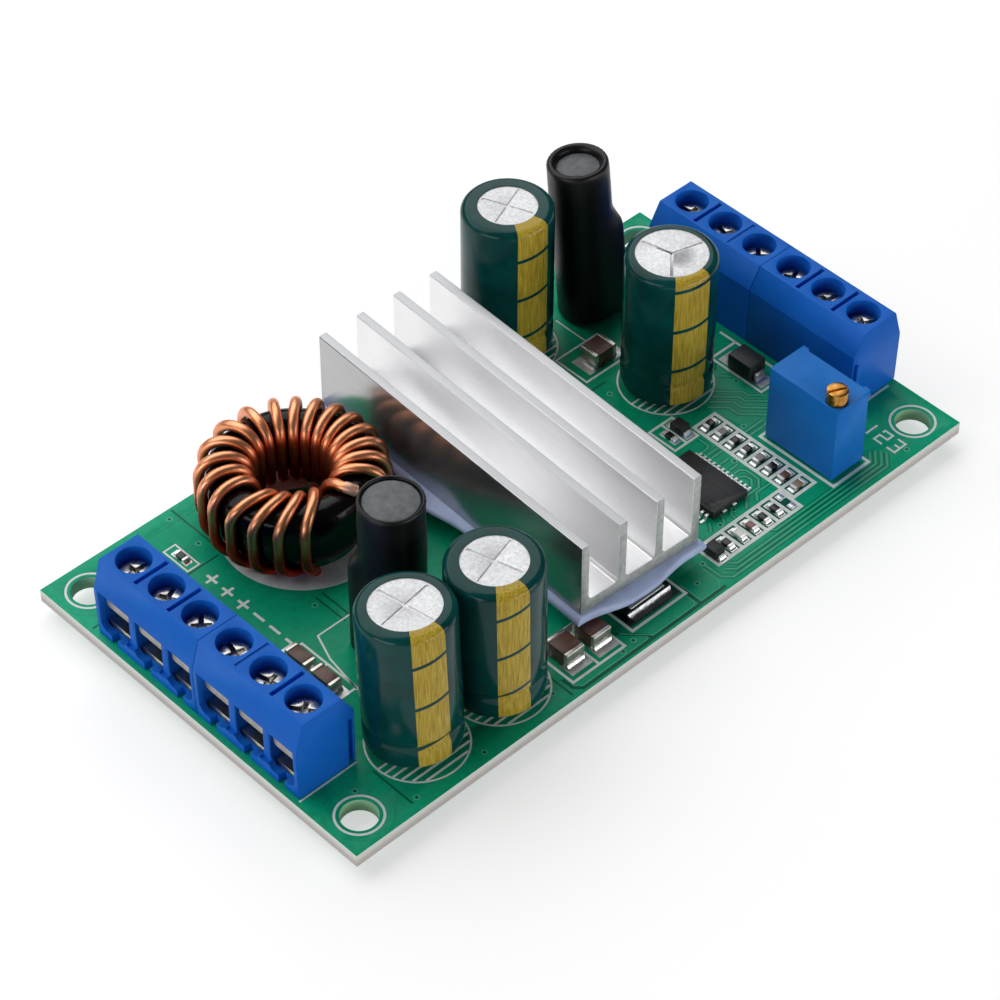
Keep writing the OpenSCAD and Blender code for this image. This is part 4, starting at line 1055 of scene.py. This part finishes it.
# The skin lies a little inside the solid sleeve; its bulge fades over a height and spreads by radians
SKIN_R, BULGE = 3.45 - 0.06, 1.1 - 0.02
BULGE_TOP, BULGE_FADE, BULGE_SPREAD = 11.0, 2.6, 0.42
# Waves: height of one, count, seed, and the ranges of their rate along the rod, count round it and phase
WAVE, WAVES, WAVE_SEED = 0.01, 7, 30
WAVE_RATES, WAVE_ROUND, WAVE_PHASES = (0.2, 0.9), (1, 4), (0, 6.3)
# Heights of the sleeve's rings from its foot, and of the last two from its top
ROD_LEVELS = (0.0, 0.3, 1.2, 2.5, 4, 5.5, 7, 8.5, 9.8, 10.8, 11.6, 12.3, 13, 13.7, 14.4, 15.4, 16.6, 17.8)
ROD_LAST = (-1.3, -0.7)
# Rims of the sleeves as radius and height from the top: thin round the near rod's flange, wide on the far rod
ROD_LIP = (
    ((3.4, -0.3), (3.34, -0.08), (3.2, 0.0), (3.06, -0.04), (3.0, -0.22), (2.985, -0.6)),
    ((3.36, -0.32), (3.24, -0.08), (3.02, 0.0), (2.74, -0.05), (2.5, -0.3), (2.4, -0.62), (2.38, -0.95)),
)
LIP_WAVE = 0.012


def stand(pos, z, lean, to, turn):
    """Placing of an upright part that leans a little."""
    tilt_y, tilt_x = polar(math.radians(lean), to)
    return (Matrix.Translation((pos[0], pos[1], z)) @ Matrix.Rotation(tilt_y, 4, "Y")
            @ Matrix.Rotation(-tilt_x, 4, "X") @ Matrix.Rotation(math.radians(turn), 4, "Z"))


def rod_radius(z, a, waves):
    """Radius of a wavy sleeve with the bulge of the wire that runs down its side; a is in radians."""
    share = min(1.0, max(0.0, 1 - (z - BULGE_TOP) / BULGE_FADE))
    share = share * share * (3 - 2 * share)
    aside = math.atan2(math.sin(a), math.cos(a))
    r = SKIN_R + BULGE * share * math.exp(-(aside / BULGE_SPREAD) ** 2)
    return r + WAVE * sum(math.sin(rate * z + count * a + phase) for rate, count, phase in waves)


def rod_sleeve(i):
    pos, turn, lean, to, foot = RODS[i]
    h = ROD_H - foot
    place = stand(pos, TOP + foot, lean, to, turn)
    rng = random.Random(WAVE_SEED + i)
    waves = []
    for _ in range(WAVES):
        waves.append((rng.uniform(*WAVE_RATES), rng.randint(*WAVE_ROUND), rng.uniform(*WAVE_PHASES)))
    angles = [2 * math.pi * k / ROD_SIDES for k in range(ROD_SIDES)]
    bm = bmesh.new()
    rows = []
    for z in ROD_LEVELS + tuple(h + last for last in ROD_LAST):
        spots = [(rod_radius(z, a, waves), a) for a in angles]
        rows.append([bm.verts.new(place @ Vector((r * math.cos(a), r * math.sin(a), z))) for r, a in spots])
    for r, z in ROD_LIP[i]:
        row = []
        for k, a in enumerate(angles):
            x = r * math.cos(a) * (1 + LIP_WAVE * math.sin(3 * k))
            row.append(bm.verts.new(place @ Vector((x, r * math.sin(a), h + z))))
        rows.append(row)
    join(bm, rows)
    bm.faces.new(rows[0][::-1])
    obj = piece("rod_sleeve_skin_%d" % (i + 1), bm, MAT["shrink"], 70)
    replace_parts(obj, "rod_sleeve_%d" % (i + 1))


# Capacitor sleeves
CAP_D, CAP_FOOT, FILM, FILM_CLEAR, FILM_INNER, FILM_SIDES = 10.1, 1.2, 0.09, 0.02, 0.03, 96
CAP_TOP = (18.4, 18.4, 19.6, 18.4)
CAP_LEAN = ((2.7, 90), (1.5, 195), (0, 0), (0, 0))
CAP_TURN = (-105.6, -111.8, -98.7, -107)
# Width of the stripe in degrees, spacing, height and tilt of its bars
CAP_PRINT = ((41.6, 5.5, 8.25, 0.8), (39.6, 5.5, 9.0, 1.1), (45, 5.4, 9.4, 0.5), (48, 5.55, 10.6, 0.5))
CAP_EYE = (3.65, 3.4, 3.23, 3.92)
CAP_EYE_DOWN = 0.005
CAP_SHOULDER = 0.75
# Insets of the foot rim, its corner, and the places of the side's rings up to below the shoulder
FOOT_INSETS, FOOT_CORNER = (0.7, 0.25), 0.06
SIDE_SHARES, SIDE_BELOW = (0.25, 0.5, 0.75), 0.9
# The bead near the foot, as inset and height
CAP_BEAD = (
    (0.0, 0.3), (0.0, 1.9), (0.06, 2.1), (0.2, 2.4), (0.22, 2.6), (0.2, 2.8), (0.06, 3.1), (0.0, 3.3),
)


def film_outline(i, off):
    """Radius and height of a sleeve's outline, at a distance from the can, from its foot rim to its eye."""
    can_r = CAP_D / 2 - FILM - FILM_CLEAR
    can_h = CAP_TOP[i] - CAP_FOOT - FILM - FILM_CLEAR
    bead_end = CAP_BEAD[-1][1]
    pts = [(can_r - inset, -off) for inset in FOOT_INSETS]
    pts.append((can_r + off - FOOT_CORNER, -off + FOOT_CORNER))
    pts += [(can_r + off - inset, z) for inset, z in CAP_BEAD]
    pts += [(can_r + off, bead_end + (can_h - bead_end - SIDE_BELOW) * t) for t in SIDE_SHARES]
    for a in range(0, 91, 15):
        x, z = polar(CAP_SHOULDER + off, a)
        pts.append((can_r - CAP_SHOULDER + x, can_h - CAP_SHOULDER + z))
    return pts + [(CAP_EYE[i], can_h + off - CAP_EYE_DOWN)]


def capacitor_sleeve(i):
    profile = film_outline(i, FILM_CLEAR + FILM) + film_outline(i, FILM_INNER)[::-1]
    lean, to = CAP_LEAN[i]
    bm = bmesh.new()
    lathe(bm, profile, stand(CAPS[i], TOP + CAP_FOOT, lean, to, CAP_TURN[i]), "film", FILM_SIDES)
    film = sleeve_material("printed_film_%d" % (i + 1), *CAP_PRINT[i])
    obj = piece("sleeve_film_%d" % (i + 1), bm, film, 50)
    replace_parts(obj, "capacitor_sleeve_%d" % (i + 1))


# Thermal pad: U runs across the heatsink and V along it
PAD_CELLS_U, PAD_CELLS_V = 60, 120
# Reach past the sides, the tongue on the -X side, and reach past the ends, its least share and its loss at +X
PAD_SIDE = 0.4
PAD_TONGUE_V, PAD_TONGUE_SPREAD = 2, 3.5
PAD_REACH, PAD_REACH_LEAST, PAD_TAPER = 1.2, 0.15, 0.6
PAD_EASE, PAD_EASE_FROM = 2.7, 1.33
# Sag past the ends and past the sides: depth, mean and swing of its wave, and degrees for a millimetre
PAD_END_SAG = (0.25, 0.8, 0.2, 25)
PAD_SIDE_SAG = (0.4, 0.6, -0.35, 40)
# Widths in which the edges thin, how far they thin below and above, and the underside's share of the sag
PAD_EDGE_U, PAD_EDGE_V = 0.5, 1.1
PAD_THIN_LOW, PAD_THIN_HIGH, PAD_LOW_SAG, PAD_CLEAR = 0.15, 0.2, 0.85, 0.02
PAD_SWELL = 0.2
PAD_RIM_LEVELS = (0.15, 0.35, 0.5, 0.65, 0.85)


def pad_ease(u):
    """Smooth step across the pad, from 0 at its -X side to 1."""
    return (1 - math.cos(math.pi * min(1.0, max(0.0, u / SINK_W * PAD_EASE + PAD_EASE_FROM)))) / 2


def pad_drop(u, v, past_u, past_v):
    """How far the pad sags, past the heatsink's ends or past its sides."""
    if past_v > past_u:
        depth, mean, swing, rate = PAD_END_SAG
        wave = mean + swing * math.cos(math.radians(rate * (u + 1)))
        return depth * min(PAD_REACH, past_v) * pad_ease(u) * wave
    depth, mean, swing, rate = PAD_SIDE_SAG
    return depth * min(1, past_u) * (mean + swing * math.cos(math.radians(rate * v)))


def pad_spot(i, j, level):
    """Point of the pad; the level runs from 0 at its underside to 1 at its top."""
    su, sv = i / PAD_CELLS_U * 2 - 1, j / PAD_CELLS_V * 2 - 1
    tongue = math.exp(-((sv * SINK_L / 2 - PAD_TONGUE_V) / PAD_TONGUE_SPREAD) ** 2)
    u = su * (SINK_W / 2 + PAD_SIDE + (tongue if su < 0 else 0))
    narrow = 1 - PAD_TAPER * pad_ease(u - SINK_W / 2)
    v = sv * (SINK_L / 2 + PAD_REACH * (PAD_REACH_LEAST + (1 - PAD_REACH_LEAST) * pad_ease(u)) * narrow)
    past_u, past_v = max(abs(u) - SINK_W / 2, 0), max(abs(v) - SINK_L / 2, 0)
    drop = pad_drop(u, v, past_u, past_v)
    edge = min(1.0, max(past_u / PAD_EDGE_U, past_v / PAD_EDGE_V) ** 2)
    low = PAD_CLEAR + PAD_THIN_LOW * edge - drop * PAD_LOW_SAG
    high = PAD_T - PAD_CLEAR - PAD_THIN_HIGH * edge - drop
    swell = PAD_SWELL * math.sqrt(max(0.0, 1 - (2 * level - 1) ** 2))
    u += swell * su if abs(su) == 1 else 0
    v += swell * sv if abs(sv) == 1 else 0
    return Vector((u, v, low + (high - low) * level))


def thermal_pad():
    place = Matrix.Translation((*SINK_MID, PAD_Z)) @ Matrix.Rotation(math.radians(SINK_TURN), 4, "Z")
    nu, nv = PAD_CELLS_U, PAD_CELLS_V
    bm = bmesh.new()

    def point(i, j, level):
        return bm.verts.new(place @ pad_spot(i, j, level))

    under, over = ([[point(i, j, level) for i in range(nu + 1)] for j in range(nv + 1)] for level in (0, 1))
    for grid, order in ((under, -1), (over, 1)):
        for j in range(nv):
            for i in range(nu):
                face = (grid[j][i], grid[j][i + 1], grid[j + 1][i + 1], grid[j + 1][i])
                bm.faces.new(face[::order])
    rim = [(i, 0) for i in range(nu)] + [(nu, j) for j in range(nv)]
    rim += [(i, nv) for i in range(nu, 0, -1)] + [(0, j) for j in range(nv, 0, -1)]
    rings = [[under[j][i] for i, j in rim]]
    rings += [[point(i, j, level) for i, j in rim] for level in PAD_RIM_LEVELS]
    rings.append([over[j][i] for i, j in rim])
    join(bm, rings)
    obj = piece("soft_pad", bm, MAT["pad"], 50)
    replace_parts(obj, "thermal_pad")


# CAD nodes that stay: name, material and width of the soft edges, and the count of those with a number
NODE_LOOKS = (
    ("pcb", "board", 0.04),
    ("terminal_contacts", "tinned", 0.05), ("heatsink", "sink", 0.06), ("power_transistors", "black", 0.1),
    ("transistor_leads", "tin", 0.05), ("toroid_core", "core", 0.0), ("rod_cores", "ferrite", 0.12),
    ("rod_windings", "copper", 0.0), ("capacitor_bungs", "rubber", 0.04), ("component_leads", "tin", 0.04),
    ("trimmer_body", "trim", 0.12), ("trimmer_screw", "brass", 0.08), ("controller_body", "black", 0.06),
    ("controller_leads", "tin", 0.02), ("solder_joints", "solder", 0.0),
)
NUMBERED_LOOKS = (
    ("capacitor_can_%d", 4, "can", 0.04), ("terminal_screw_%02d", 12, "nickel", 0.06),
    ("wire_guard_%02d", 12, "stainless", 0.05),
)
# The terminal blocks' edges are softened from a smaller angle
BLOCKS, BLOCK_SOFT, BLOCK_ANGLE = 4, 0.1, 12.0
# CAD nodes that pieces replace
REPLACED = (
    "chip_resistors", "diodes", "ceramic_capacitors", "chip_terminations", "shunt_resistor", "thermal_pad",
    "toroid_winding", "rod_sleeve_1", "rod_sleeve_2", "capacitor_sleeve_1", "capacitor_sleeve_2",
    "capacitor_sleeve_3", "capacitor_sleeve_4",
)


def dress_nodes():
    for i in range(BLOCKS):
        dress("terminal_block_%d" % (i + 1), MAT["blue"], BLOCK_SOFT, BLOCK_ANGLE)
    for name, count, mat, bevel in NUMBERED_LOOKS:
        for i in range(count):
            dress(name % (i + 1), MAT[mat], bevel)
    for name, mat, bevel in NODE_LOOKS:
        dress(name, MAT[mat], bevel)
    for name in REPLACED:
        dress(name, MAT["black"])


add_camera()
add_floor()
add_lights()
dress_nodes()
board_ink()
board_tracks()
board_vias()
chip_pieces()
winding()
winding_stub()
for which in range(len(RODS)):
    rod_sleeve(which)
for which in range(len(CAPS)):
    capacitor_sleeve(which)
thermal_pad()
